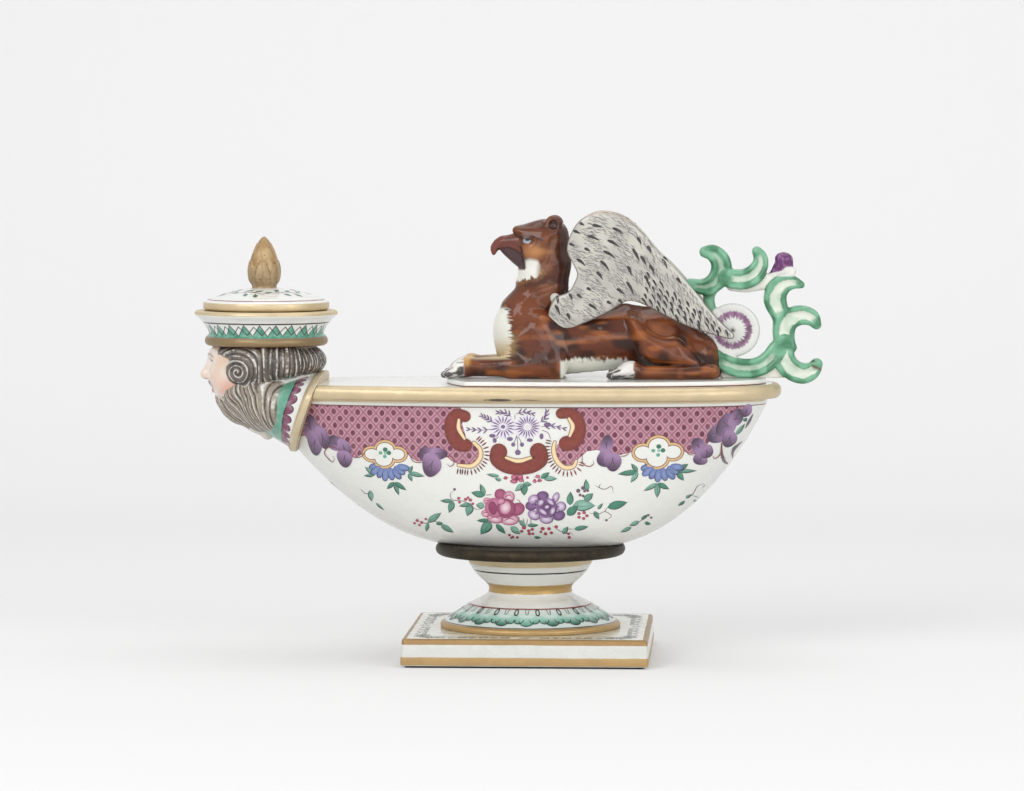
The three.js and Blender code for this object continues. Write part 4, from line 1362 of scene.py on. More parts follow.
# Berries as [x, z, radius]
RED_BERRIES = [
    (-26.7, 65.3, 0.7), (-24.0, 64.9, 0.7), (-22.1, 64.7, 0.75), (-21.1, 63.2, 0.6), (-26.4, 63.7, 0.6),
    (-23.0, 65.6, 0.6), (20.7, 59.5, 0.7), (22.7, 59.9, 0.75), (20.7, 58.0, 0.7), (22.5, 57.5, 0.7),
    (23.8, 58.6, 0.7), (-1.1, 53.6, 0.8), (-2.0, 52.2, 0.7), (0.8, 52.4, 0.7), (2.2, 53.0, 0.7),
    (1.0, 51.2, 0.7), (2.4, 51.2, 0.6), (6.3, 53.3, 0.85), (8.8, 53.3, 0.75), (5.6, 52.0, 0.6),
    (7.4, 51.2, 0.75), (9.7, 51.6, 0.7), (11.7, 54.1, 0.75), (16.4, 51.2, 0.6), (16.7, 49.7, 0.7),
    (-6.9, 50.6, 0.6), (-5.6, 49.8, 0.6), (-3.8, 49.6, 0.6), (-6.2, 49.4, 0.5), (-43.8, 55.6, 0.7),
    (-42.0, 54.9, 0.7), (-43.0, 53.7, 0.6), (-45.0, 54.4, 0.6), (-40.2, 56.4, 0.6), (-8.0, 73.7, 0.8),
    (0.6, 73.9, 0.6), (5.0, 72.6, 0.6), (3.4, 73.0, 0.5),
]
DARK_BERRIES = [
    (20.5, 68.7, 0.85), (22.3, 69.8, 0.75), (23.0, 68.6, 0.6), (21.2, 67.0, 0.6), (24.2, 68.8, 0.6),
    (22.4, 66.6, 0.6), (-28.3, 68.9, 0.55), (31.4, 56.7, 0.5), (47.8, 58.4, 0.5), (48.9, 57.3, 0.5),
]


def ribbon(decals, path, edge, heart, layer, line=None, line_width=0.3):
    """A fat band with round ends along [x, z, half width], its colour running from heart to edge."""
    path = np.array(path, float)
    fine = curve_through(path, max(6, int(lengths_along(path[:, :2])[-1] / 0.8)))
    first, last = fine[0], fine[-1]
    ahead = (fine[0, :2] - fine[1, :2]) / np.linalg.norm(fine[0, :2] - fine[1, :2])
    behind = (fine[-1, :2] - fine[-2, :2]) / np.linalg.norm(fine[-1, :2] - fine[-2, :2])
    start, end = [], []
    for part in (0.985, 0.85, 0.6, 0.3):
        shrunk = math.sqrt(1 - part * part)
        start.append([*(first[:2] + ahead * first[2] * part), first[2] * shrunk])
        end.insert(0, [*(last[:2] + behind * last[2] * part), last[2] * shrunk])
    fine = np.vstack([start, fine, end])
    centre, side = fine[:, :2], left_of(fine[:, :2]) * fine[:, 2:]
    spans = np.linspace(-1, 1, 7)
    n = len(spans)
    flat, colours, faces = [], [], []
    for k in range(len(fine)):
        for j, span in enumerate(spans):
            flat.append(centre[k] + side[k] * span)
            colours.append(blend(heart, edge, abs(span) ** 2.2))
            if k and j:
                a = k * n + j
                faces.append((a - n - 1, a - 1, a, a - n))
    decals.add(flat, faces, colours, layer)
    if line is not None:
        rim = [*(centre + side), *(centre - side)[::-1]]
        decals.stroke(rim + rim[:2], line_width, line, layer + 1, taper=0.0)


def petal(decals, x, z, rx, rz, turn, edge, heart, layer, line):
    outline = rounded_loop(x, z, rx, rz, math.radians(turn))
    decals.blob(outline, edge, heart, layer)
    if line is not None:
        decals.stroke(outline[[9, 10, 11, 12, 13, 0, 1, 2, 3]], 0.26, line, layer + 2)


def painted_leaf(decals, root_x, root_z, tip_x, tip_z, fat):
    body = blend(srgb(64, 136, 110), srgb(156, 202, 184), rng.uniform(0, 1) ** 1.4)
    edge = blend(srgb(34, 98, 80), body, 0.45)
    root, tip = np.array((root_x, root_z)), np.array((tip_x, tip_z))
    leaf(decals, root, tip, fat * 1.1, tuple(edge), tuple(body))
    along = tip - root
    across = np.array([-along[1], along[0]]) / max(np.linalg.norm(along), 1e-6)
    if across[1] > 0:
        across = -across
    t = np.linspace(0.08, 1.04, 6)
    below = [root + along * k + across * fat * 0.92 * math.sin(math.pi * min(k, 1) ** 0.8) ** 0.85 for k in t]
    decals.stroke(below, 0.36, srgb(36, 54, 50), 3)
    vein = [root + along * 0.1, root + along * 0.5 + across * 0.12 * fat, root + along * 0.9]
    decals.stroke(vein, 0.2, DEEP_GREEN, 3)


def quatrefoil(decals, wide, tall, cx, cz):
    lobes = [(0.4, 2.9, 4.2, 3.9), (-6.4, 0.2, 3.4, 2.9), (6.6, 0.4, 3.4, 2.9), (-0.4, -2.2, 4.3, 4.1)]
    coats = [(1.4, OCHRE_LINE, 1), (1.12, LIGHT_OCHRE, 2), (0.34, OCHRE_LINE, 3), (0.04, WHITE, 4)]
    dots = [
        (0.5, 3.0, 1.0, DEEP_GREEN), (-1.9, 1.1, 0.8, LEAF_GREEN), (2.3, 1.2, 0.95, DEEP_GREEN),
        (0.2, -0.9, 0.8, LEAF_GREEN), (0.5, 1.1, 0.65, GREEN_PALE),
    ]
    for grow, tint, layer in coats:
        for dx, dz, rx, rz in lobes:
            loop = rounded_loop(cx + dx * wide, cz + dz * tall, rx * wide + grow, rz * tall + grow, sides=26)
            decals.blob(loop, tint, None, layer)
    decals.blob(rounded_loop(cx, cz, 3.4 * wide, 2.6 * tall), WHITE, None, 5)
    for dx, dz, r, tint in dots:
        decals.blob(rounded_loop(cx + dx * wide, cz + dz * tall, r, r * 0.95, sides=9), tint, None, 6)


def half_daisy(decals, cx, cz, spread):
    """Blue petals that hang in a fan below a quatrefoil."""
    for k in range(8):
        a = math.radians(192 + k * 22.5)
        reach = spread * (0.78 + 0.1 * (k % 2))
        x, z = cx + reach * math.cos(a), cz + 0.66 * reach * math.sin(a) - 0.4
        deep = 0.5 + 0.5 * math.sin(k * 2.3)
        edge = tuple(blend(srgb(78, 98, 154), srgb(104, 124, 178), deep))
        petal(decals, x, z, 0.38 * spread, 0.2 * spread, math.degrees(a), edge, srgb(128, 146, 194),
              1 + k % 2, srgb(50, 60, 98))


def fringed_crescent(decals, path, side):
    ribbon(decals, [(x, z, half + 0.22) for x, z, half in path], OCHRE_LINE, OCHRE_LINE, 3)
    ribbon(decals, path, LIGHT_OCHRE, srgb(240, 216, 172), 4)
    fine = curve_through(np.array(path, float)[:, :2], 18)
    tangent, out = unit_rows(np.gradient(fine, axis=0)), left_of(fine) * side
    for k in range(19):
        start = fine[k] + out[k] * 1.2
        end = start + out[k] * 2.5 + tangent[k] * rng.uniform(-0.1, 0.4)
        tint = blend(RED, srgb(86, 40, 40), k / 18 if side > 0 else 1 - k / 18)
        decals.stroke([start, end], 0.6, tuple(tint))


def mauve_leaf(decals, lobes):
    """Overlapping washes, each dark towards its tip and pale where it springs from."""
    root = np.mean([lobe[:2] for lobe in lobes], axis=0) + (0.4, 1.6)
    for k, (x, z, rx, rz, turn) in enumerate(lobes):
        away = math.atan2(z - root[1], x - root[0]) - 0.35
        turn = math.radians(turn)
        wide = rounded_loop(x, z, rx * 1.2, rz * 1.14, turn, sides=26, lobes=3, dent=0.07)
        decals.blob(wide, MAUVE_DEEP, MAUVE_PALE, 2 + 2 * k, lean=away)
        for bend in (-0.5, 0.5):
            tip = (x + 0.86 * rx * math.cos(away + bend), z + 0.86 * rz * math.sin(away + bend))
            mid = (x + 0.1 * rx * math.cos(away + 2 * bend), z + 0.1 * rz * math.sin(away + 2 * bend))
            start = (x - 0.5 * rx * math.cos(away), z - 0.5 * rz * math.sin(away))
            decals.stroke([start, mid, tip], 0.28, MAUVE_DEEP, 3 + 2 * k, taper=0.5)


def lilac_spray(decals):
    """The two daisies with leaves and buds in the white field between the C-scrolls."""
    cz = 94.0
    for cx, petals in ((-8.9, 17), (0.7, 21)):
        decals.blob(rounded_loop(cx, cz, 5.0, 4.6, sides=18), srgb(226, 220, 232), srgb(232, 228, 236), 1)
        for k in range(petals):
            a = TAU * k / petals + 0.1
            near, far = 1.5, 4.9 + 0.4 * math.sin(3 * k)
            path = [(cx + r * math.cos(a), cz + 0.9 * r * math.sin(a))
                    for r in (near, 0.5 * (near + far), far)]
            decals.stroke(path, 0.62, LILAC, 2, taper=0.45)
        heart = LILAC if cx < -5 else srgb(226, 220, 210)
        decals.blob(rounded_loop(cx, cz, 0.9, 0.8, sides=9), heart, None, 3)
    twigs = [
        [(-13.4, 93.0), (-17.8, 92.6), (-22.2, 92.9)], [(-12.6, 95.6), (-15.0, 97.2), (-17.0, 98.2)],
        [(-5.4, 97.8), (-7.6, 99.4), (-10.6, 99.6)], [(-3.9, 99.0), (-0.6, 99.9), (2.6, 99.2)],
        [(5.4, 95.6), (7.6, 97.4), (8.3, 99.9)], [(5.8, 94.0), (10.2, 94.4), (14.9, 93.4)],
        [(6.2, 92.8), (8.8, 91.6), (9.8, 89.0)], [(-10.4, 90.2), (-12.0, 88.8), (-12.8, 87.6)],
        [(-3.6, 91.0), (-3.2, 88.0), (-3.1, 84.4)], [(-3.6, 90.4), (-4.2, 88.6), (-4.9, 87.2)],
        [(-3.2, 90.4), (-2.2, 88.8), (-1.5, 87.2)], [(-4.2, 98.9), (-4.2, 96.8)],
    ]
    for k, twig in enumerate(twigs):
        decals.stroke(twig, 0.26, LILAC, 2, taper=0.1)
        if k < 6:
            fine = curve_through(np.array(twig), 4)
            for j in range(1, 5):
                step = fine[j] - fine[j - 1]
                step /= np.linalg.norm(step)
                out = np.array([-step[1], step[0]])
                for side in (-1, 1):
                    tip = fine[j] + step * 1.3 + out * side * (1.6 - 0.22 * j)
                    tint = LILAC if (j + k) % 3 else srgb(96, 70, 112)
                    decals.stroke([fine[j] - step * 0.5, tip], 0.7, tint, 3, taper=0.5)
    buds = [
        (-3.1, 83.9, 1.15, 1.1), (-4.9, 87.0, 0.8, 0.85), (-1.5, 87.0, 0.8, 0.9), (-13.1, 90.4, 1.3, 0.75),
        (-12.2, 88.6, 0.8, 1.0), (6.2, 90.3, 0.8, 1.2), (-6.2, 89.2, 1.2, 0.8), (1.6, 88.8, 1.2, 0.7),
        (8.6, 94.9, 1.5, 0.9),
    ]
    for x, z, rx, rz in buds:
        decals.blob(rounded_loop(x, z, rx, rz, sides=10), srgb(104, 78, 120), LILAC, 4)


def rose(decals):
    """The pink rose: overlapping petals, dark inside and pale at their rims, round two hearts."""
    deep, mid, pale = srgb(136, 46, 88), srgb(178, 88, 126), srgb(240, 216, 224)
    petals = [
        (-16.2, 59.4, 1.7, 1.5, 10), (-15.4, 64.4, 1.6, 1.4, -20), (-12.6, 57.4, 3.2, 1.9, -12),
        (-6.6, 56.8, 3.8, 2.1, 6), (-3.6, 61.2, 3.0, 2.5, 30), (-6.8, 66.2, 2.2, 2.4, -24),
        (-10.2, 67.0, 2.3, 2.4, 14),
    ]
    for k, (x, z, rx, rz, turn) in enumerate(petals):
        edge, heart = (deep, mid) if k in (4, 6) else (mid, pale)
        petal(decals, x, z, rx, rz, turn, edge, heart, 1 + k % 3, deep)
        crease = [(x - 0.6 * rx, z - 0.2 * rz), (x, z + 0.35 * rz), (x + 0.6 * rx, z - 0.1 * rz)]
        decals.stroke(crease, 0.5, mid, 5)
    petal(decals, -12.4, 61.8, 4.0, 4.0, 0, mid, srgb(214, 140, 168), 5, deep)
    petal(decals, -13.2, 61.6, 1.8, 2.8, 8, deep, srgb(140, 44, 96), 6, None)
    petal(decals, -8.0, 61.6, 3.7, 3.9, 0, deep, mid, 6, deep)
    petal(decals, -8.2, 61.9, 2.4, 2.9, -10, mid, pale, 8, deep)
    petal(decals, -9.9, 64.4, 1.7, 1.2, 20, mid, srgb(222, 160, 184), 9, deep)
    decals.stroke([(-3.7, 65.4), (-2.6, 64.4), (-1.9, 63.0)], 0.26, deep, 5)


def purple_flower(decals):
    deep, mid, pale = srgb(84, 46, 94), srgb(134, 92, 146), srgb(226, 210, 230)
    middle_x, middle_z = 7.9, 61.9
    outer = [
        (6.4, 66.6, 2.4, 1.9, 10), (11.6, 66.0, 1.3, 2.3, -24), (13.6, 62.4, 2.0, 2.0, 0),
        (12.8, 58.6, 2.5, 1.9, 24), (7.8, 57.2, 2.7, 1.8, 0), (2.9, 58.9, 2.5, 1.9, -26),
        (1.8, 62.6, 2.2, 1.9, 10), (2.8, 65.2, 2.2, 1.8, 30),
    ]
    inner = [
        (5.8, 64.0, 1.5, 1.1, 50), (9.6, 64.2, 1.9, 0.9, -40), (6.6, 60.2, 2.0, 0.9, -36),
        (10.4, 60.6, 1.0, 1.7, -20), (8.2, 62.2, 1.1, 0.8, 20),
    ]
    for k, (x, z, rx, rz, turn) in enumerate(outer):
        edge, heart = (mid, pale) if k % 3 else (deep, mid)
        petal(decals, x, z, rx, rz, turn, edge, heart, 1 + k % 3, deep)
        crease = [(x + part * (middle_x - x), z + part * (middle_z - z)) for part in (0.1, 0.35)]
        decals.stroke(crease, 0.9, mid, 4)
    petal(decals, middle_x, middle_z, 4.2, 4.0, 0, mid, deep, 4, deep)
    for x, z, rx, rz, turn in inner:
        petal(decals, x, z, rx, rz, turn, mid, pale, 6, deep)


def small_flower(decals):
    deep, mid = srgb(150, 48, 84), srgb(206, 120, 150)
    petals = [
        (-4.6, 74.0, 1.3, 1.1), (-2.4, 74.2, 1.3, 1.0), (-4.8, 72.4, 1.5, 0.8), (-2.0, 72.9, 1.0, 0.8),
        (4.6, 74.4, 0.9, 0.7), (3.4, 72.4, 0.8, 0.6), (5.4, 72.8, 0.9, 0.6),
    ]
    for x, z, rx, rz in petals:
        petal(decals, x, z, rx, rz, 0, deep, mid, 2, deep)
    decals.blob(rounded_loop(-3.7, 73.4, 0.9, 0.8, sides=9), srgb(120, 36, 60), deep, 4)


def paint_bowl(bowl):
    for side in (-1, 1):
        start = CAST_FROM * side
        decals = Decals(bowl, lambda u, v: ((u, start, v), (0, -side, 0)))
        for lobes in MAUVE_LEAVES:
            mauve_leaf(decals, lobes)
        for fringe, path in FRINGED_CRESCENTS:
            fringed_crescent(decals, path, fringe)
        for path in RED_SCROLLS:
            ribbon(decals, path, RED_DEEP, RED, 6, srgb(128, 44, 34), 0.22)
        for path in OCHRE_CRESCENTS:
            ribbon(decals, [(x, z, half + 0.2) for x, z, half in path], OCHRE_LINE, OCHRE_LINE, 7)
            ribbon(decals, path, LIGHT_OCHRE, srgb(242, 218, 176), 9)
        for path in BROWN_TENDRILS:
            decals.stroke(path, 0.34, srgb(132, 62, 48), 7, taper=0.25)
        for path in MAUVE_STROKES:
            decals.stroke(path, 1.0, srgb(98, 76, 102), 6, taper=0.4)
        for path in STEMS:
            decals.stroke(path, 0.26, srgb(84, 66, 66), 1, taper=0.25)
        for spec in GREEN_LEAVES:
            painted_leaf(decals, *spec)
        for wide, tall, cx, cz in QUATREFOILS:
            half_daisy(decals, cx + 1.4, cz - 5.4 * tall, 6.2 + 1.0 * tall)
            quatrefoil(decals, wide, tall, cx, cz)
        for x, z, r in RED_BERRIES:
            decals.blob(rounded_loop(x, z, r, r * 0.9, sides=9), srgb(146, 46, 70), srgb(184, 84, 104), 3)
        for x, z, r in DARK_BERRIES:
            decals.blob(rounded_loop(x, z, r, r, sides=9), srgb(74, 54, 74), srgb(120, 96, 116), 3)
        lilac_spray(decals)
        small_flower(decals)
        rose(decals)
        purple_flower(decals)
        decals.build("bowl_painting_" + ("left" if side < 0 else "right"), "stand")
    keel = Decals(bowl, lambda u, v: ((u, v, 20), (0, 0, 1)))
    for k, path in enumerate(KEEL_STROKES):
        width, tint = (1.1, srgb(92, 104, 98)) if k else (0.4, srgb(84, 66, 66))
        keel.stroke(path, width, tint, taper=0.4)
    keel.build("bow_spray", "stand")


def build_deck():
    rim = [(2.6, DECK_UNDER), (4.2, DECK_UNDER), (4.9, 104.5), (5.4, 105.3), (RIM_PROUD, 106.2),
           (RIM_PROUD, 107.2), (5.3, 108.1), (4.8, 108.7), (4.1, 109.15), (3.3, 109.42), (2.4, DECK_TOP),
           (1.6, DECK_TOP)]
    rings = [(bowl_outline(WALL_TOP, proud), z) for proud, z in rim]
    outer, inner = bowl_outline(WALL_TOP, 1.6), mouth_outline()
    for t in (0.2, 0.45, 0.7, 0.9, 0.97):
        rings.append((outer * (1 - t) + inner * t, DECK_TOP))
    for inset, z in ((-0.15, DECK_TOP - 0.1), (0, DECK_TOP - 0.5), (0, 106), (0, DECK_UNDER)):
        rings.append((mouth_outline(inset), z))
    under = bowl_outline(WALL_TOP, 2.6)
    for t in (0.3, 0.7, 1.0):
        rings.append((inner * (1 - t) + under * t, DECK_UNDER))
    proud_of = [proud for proud, _ in rim]
    # the deck's top, the mouth and the underside carry no gilding
    proud_of += [-8] * (len(rings) - len(rim))
    material = zoned("deck_glaze", [("rim", PALE_GOLD, True)], ripple=7.0)
    deck, _ = stack("deck_and_rim", rings, "stand", ["deck_rim"], material, caps=False)
    field(deck, "rim", np.repeat(proud_of, OUTLINE_POINTS) - 2.0)
    wear = Decals(deck, lambda u, v: ((u, -CAST_FROM, v), (0, 1, 0)))
    wear.blob(rounded_loop(-10, 104.8, 4.8, 0.5), srgb(96, 84, 58), srgb(58, 48, 34), 1)
    wear.stroke([(-4.6, 104.7), (-0.6, 104.9), (3.4, 104.8), (6.6, 104.9)], 0.32, srgb(108, 88, 60), 1)
    wear.stroke([(-16.4, 104.7), (-14.2, 104.9)], 0.4, srgb(108, 88, 60), 1)
    wear.build("rim_wear", "stand")


def plate_outline():
    rear = bowl_outline(WALL_TOP, -0.4)
    rear = rear[rear[:, 0] > -25]
    rear = rear[np.argsort(np.arctan2(rear[:, 1], rear[:, 0] + 30))]
    start, end = rear[-1], rear[0]
    t = np.linspace(0, 1, 60)[1:-1, None]
    middle = np.array([2 * -33.4 - start[0], 0])
    bulge = start * (1 - t) ** 2 + 2 * middle * t * (1 - t) + end * t * t
    return evenly(np.vstack([rear, bulge, rear[:1]]), OUTLINE_POINTS)[:-1]


def shrink(loop, by):
    """A loop moved inwards along its own normals."""
    ahead, behind = np.roll(loop, -1, axis=0), np.roll(loop, 1, axis=0)
    tangent = unit_rows(ahead - behind)
    normal = np.column_stack([-tangent[:, 1], tangent[:, 0]])
    area = 0.5 * np.sum(loop[:, 0] * ahead[:, 1] - ahead[:, 0] * loop[:, 1])
    return loop + normal * by * (1 if area > 0 else -1)


def build_plate():
    loop = plate_outline()
    middle = loop.mean(axis=0)
    rings = [(shrink(loop, inset), z) for inset, z in (
        (0.6, DECK_TOP + 0.02), (0.15, 109.62), (0, 109.85), (0, 110.8), (0.15, 111.2), (0.5, 111.42),
        (1.1, PLATE_TOP))]
    rings.insert(0, (middle + (loop - middle) * 0.9, DECK_TOP + 0.02))
    rings += [(middle + (loop - middle) * part, PLATE_TOP) for part in (0.96, 0.9, 0.7)]
    material = zoned("plate_glaze", [("edge_line", srgb(140, 84, 66), False)])
    plate, points = stack("cover_slab", rings, "griffin_cover", ["cover_plate"], material,
                          behind_collar=False)
    field(plate, "edge_line", 109.95 - points[:, 2])
    rings = [(mouth_outline(inset), z) for inset, z in (
        (0.9, 104.5), (0.65, 104.7), (0.6, 105), (0.6, 109.55), (3.6, 109.55), (3.6, 105), (3.4, 104.6),
        (3.0, 104.5), (0.9, 104.5))]
    stack("cover_flange", rings, "griffin_cover", [], material, behind_collar=False, caps=False)


# Neck, cup and lid

NOZZLE_X = -106.0
WELL_FLOOR = 97.2


def well_radius(z):
    """Radius of the wick well in the head, which narrows below z 107."""
    return np.interp(z, [WELL_FLOOR, 107], [7, 15])


def build_neck():
    profile = [  # shift, top, bottom, half width
        (0.05, 106, 98, 8), (0.05, 112.9, 82.1, 27.9), (0.3, 113.5, 81.5, 28.5), (0.9, 113.8, 81.2, 28.8),
        (2.4, 113.8, 81.3, 28.7), (3.1, 113.5, 81.7, 28.3), (3.6, 112.9, 82.5, 27.4),
        (4.3, 112.7, 83.1, 26.7), (6, 112.8, 84, 25.5), (9, 112.8, 85.5, 24), (12, 112.6, 87, 22.8),
        (15, 112.2, 88.6, 21.6), (20, 111.6, 91, 19.5)]
    shifts = np.unique(np.concatenate([np.arange(0.05, 4.3, 0.28), np.arange(4.3, 20, 0.5), [20]]))
    table = np.array(profile[1:], float)
    rows = [profile[0]] + [tuple(np.interp(sh, table[:, 0], table[:, k]) for k in range(4)) for sh in shifts]
    angles = np.arange(420) / 420 * TAU
    widest_z = 104.0
    points = []
    for shift, top, bottom, wide in rows:
        rise = np.where(np.sin(angles) > 0, top - widest_z, widest_z - bottom)
        z = widest_z + rise * np.sin(angles)
        points.append(np.column_stack([collar_x(z) - shift, wide * np.cos(angles), z]))
    reference = points[len(rows) // 2][:, 1:]
    step = np.linalg.norm(np.diff(np.vstack([reference, reference[:1]]), axis=0), axis=1)
    along = np.concatenate([[0], np.cumsum(step)[:-1]])
    scallops = 30
    phase = along / step.sum() * scallops
    points = np.vstack(points)
    room = well_radius(points[:, 2]) + 0.7
    in_well = (points[:, 2] > WELL_FLOOR - 0.7) & (np.abs(points[:, 1]) < room)
    wall_x = NOZZLE_X + np.sqrt(np.clip(room ** 2 - points[:, 1] ** 2, 0, None))
    points[:, 0] = np.where(in_well, np.maximum(points[:, 0], wall_x), points[:, 0])
    shift = np.repeat([row[0] for row in rows], len(angles))
    green_from = np.interp(points[:, 2], [84, 90, 98, 112], [6.4, 8.0, 9.5, 9.6])
    lobe = np.sqrt(np.clip(1 - (2 * (np.tile(phase, len(rows)) % 1) - 1) ** 2, 0, 1))

    def washes(glaze, colour):
        return glaze.mix(glaze.times(glaze.step(glaze.noise(3.0, 4), 0.4, 0.7), 0.2), colour, WHITE)

    material = zoned("neck_glaze", [
        ("collar", PALE_GOLD, True), ("collar_shadow", DARK_LINE_AND_SHADOW, False),
        ("scallop_edge", srgb(66, 34, 52), False), ("scallops", srgb(126, 62, 94), False),
        ("green_edge", srgb(44, 70, 62), False), ("green", srgb(100, 162, 138), False)], washes)
    faces = [tuple(reversed(face)) for face in grid_faces(len(rows), len(angles))]
    neck = make_object("neck_collar", points, faces, "stand", ["neck_arch", "neck_throat"],
                       material)
    field(neck, "collar", 4.1 - shift)
    # a thin dark band at the collar's back edge, against the bowl: painted shadow where the collar stands
    # proud
    field(neck, "collar_shadow", np.where((shift > 0.06) & (shift < 0.5), 0.3, -1.0))
    scallop = np.minimum(shift - (green_from - 1.0 - 2.7 * lobe), green_from + 0.2 - shift)
    field(neck, "scallop_edge", scallop)
    field(neck, "scallops", scallop - 0.45)
    field(neck, "green_edge", shift - green_from)
    field(neck, "green", shift - green_from - 0.35)


def build_cup():
    profile = smooth_profile([
        (19, 124), (22.4, 124), (23.6, 124.15), (24.3, 124.8), (24.6, 125.7), (24.4, 126.8), (23.8, 127.8),
        (23.1, 128.5), (23.1, 129.4), (23.8, 131), (25, 132.8), (26.5, 134.5), (27.9, 135.7), (28.5, 136.3),
        (28.6, 136.9), (28.3, 137.6), (27.6, 138), (26, 138), (20.4, 138), (19.3, 137.8), (19, 137.2),
        (19, 132), (19, 124)], step=0.35)

    def zigzag(glaze, height, colour):
        turn = glaze.times(glaze.field("around"), 24.0)
        lines = []
        for phase, low, tall in ((0.0, 128.5, 4.3), (0.38, 128.8, 3.4)):
            part = glaze.math("FRACT", glaze.plus(turn, phase))
            wave = glaze.math("ABSOLUTE", glaze.less(glaze.times(part, 2.0), 1.0))
            lines.append(glaze.math("MULTIPLY_ADD", wave, tall, low))
        below = glaze.less(lines[0], height)
        in_band = glaze.band(height, 127.7, 133.2, 0.1)
        green = glaze.times(glaze.step(below, -0.1, 0.1), in_band)
        tint = glaze.mix(glaze.step(glaze.noise(2.5, 4), 0.3, 0.7), srgb(122, 180, 156), srgb(70, 142, 118))
        colour = glaze.mix(green, colour, tint)
        for line in lines:
            gap = glaze.math("ABSOLUTE", glaze.less(line, height))
            ink = glaze.times(glaze.less(1.0, glaze.step(gap, 0.22, 0.42)), in_band)
            colour = glaze.mix(glaze.times(ink, 0.85), colour, DARK_LINE_AND_SHADOW)
        return glaze.mix(glaze.step(glaze.field("inner"), 0, 0.2), colour, WHITE)

    # the gilt torus at the cup's foot: worn gilding, darkened too as painted shade under the lip
    bands = [
        (123.0, 127.5, srgb(146, 124, 88), True), (127.5, 127.75, RED_BROWN, False),
        (133.05, 133.6, INK, False), (136.5, 139, PALE_GOLD, True), (124.0, 124.25, RED_BROWN, False),
    ]
    material = banded("cup_glaze", bands, wobble=0.12, extra=zigzag)
    cup = turned("cup_turned", profile, "stand", ["coronet_cup"], material, x=NOZZLE_X,
                 sides=320, wobble=0.003, closed=False)
    points = points_of(cup)
    field(cup, "inner", 20.2 - np.hypot(points[:, 0] - NOZZLE_X, points[:, 1]))


def build_lid():
    profile = smooth_profile([
        (0.1, 138.35), (8, 138.35), (15.2, 138.35), (15.4, 138.2), (15.4, 134.2), (15.6, 133.9),
        (18.2, 133.9), (18.4, 134.2), (18.4, 138.1), (18.6, 138.3), (23.6, 138.3), (24.6, 138.45),
        (25.1, 139), (25.2, 140), (25.1, 141.1), (24.6, 141.7), (23.8, 142.1), (22, 143), (19, 144),
        (15, 145.1), (11, 146), (7, 146.7), (4, 147), (0.1, 147.1)], step=0.4)
    bands = [(137.9, 141.3, PALE_GOLD, True), (142.2, 142.5, srgb(128, 60, 86), False)]
    material = banded("lid_glaze", bands, wobble=0.1)
    lid = turned("lid_turned", profile, "nozzle_lid", ["spout_lid"], material, x=NOZZLE_X,
                 wobble=0.002)
    decals = Decals(lid, lambda u, v: ((u, v, 170), (0, 0, -1)))
    for k in range(6):
        a = k / 6 * TAU + 0.2
        sprig(decals, NOZZLE_X + 14 * math.cos(a), 14 * math.sin(a), a + 1.2 + rng.uniform(-0.3, 0.3), 13)
    decals.build("lid_sprigs", "nozzle_lid")


def sprig(decals, x, y, turn, length):
    """A stalk with side twigs and leaves on both sides."""
    c, s = math.cos(turn), math.sin(turn)

    def at(along, across):
        return (x + along * c - across * s, y + along * s + across * c)

    half = length / 2
    decals.stroke([at(-half, -1), at(0, 0.8), at(half, -0.4)], 0.42, INK)
    for along, side in ((-4.2, 1), (-2.2, -1), (0.4, 1), (2.6, -1), (4.8, 1)):
        root, tip = at(along, 0.3 * side), at(along + 1.6, side * 3.8)
        decals.stroke([root, at(along + 0.6, side * 2.2), tip], 0.34, INK)
        tint = srgb(52, 116, 96) if side < 0 else srgb(86, 134, 120)
        leaf(decals, at(along + 0.4, side * 1.6), at(along + 2.4, side * 4.6), 1.1, tint, None)


def leaf(decals, root, tip, fat, colour, light):
    """A pointed leaf from root to tip, light in the middle."""
    root, tip = np.array(root, float), np.array(tip, float)
    along = tip - root
    side = np.array([-along[1], along[0]]) / max(np.linalg.norm(along), 1e-6)
    t = np.linspace(0, 1, 7)[:, None]
    bulge = fat * np.sin(np.pi * t ** 0.8) ** 0.85
    upper = root + along * t + side * bulge
    lower = root + along * t - side * bulge * 0.9
    decals.blob(np.vstack([upper, lower[-2:0:-1]]), colour, light, 1)


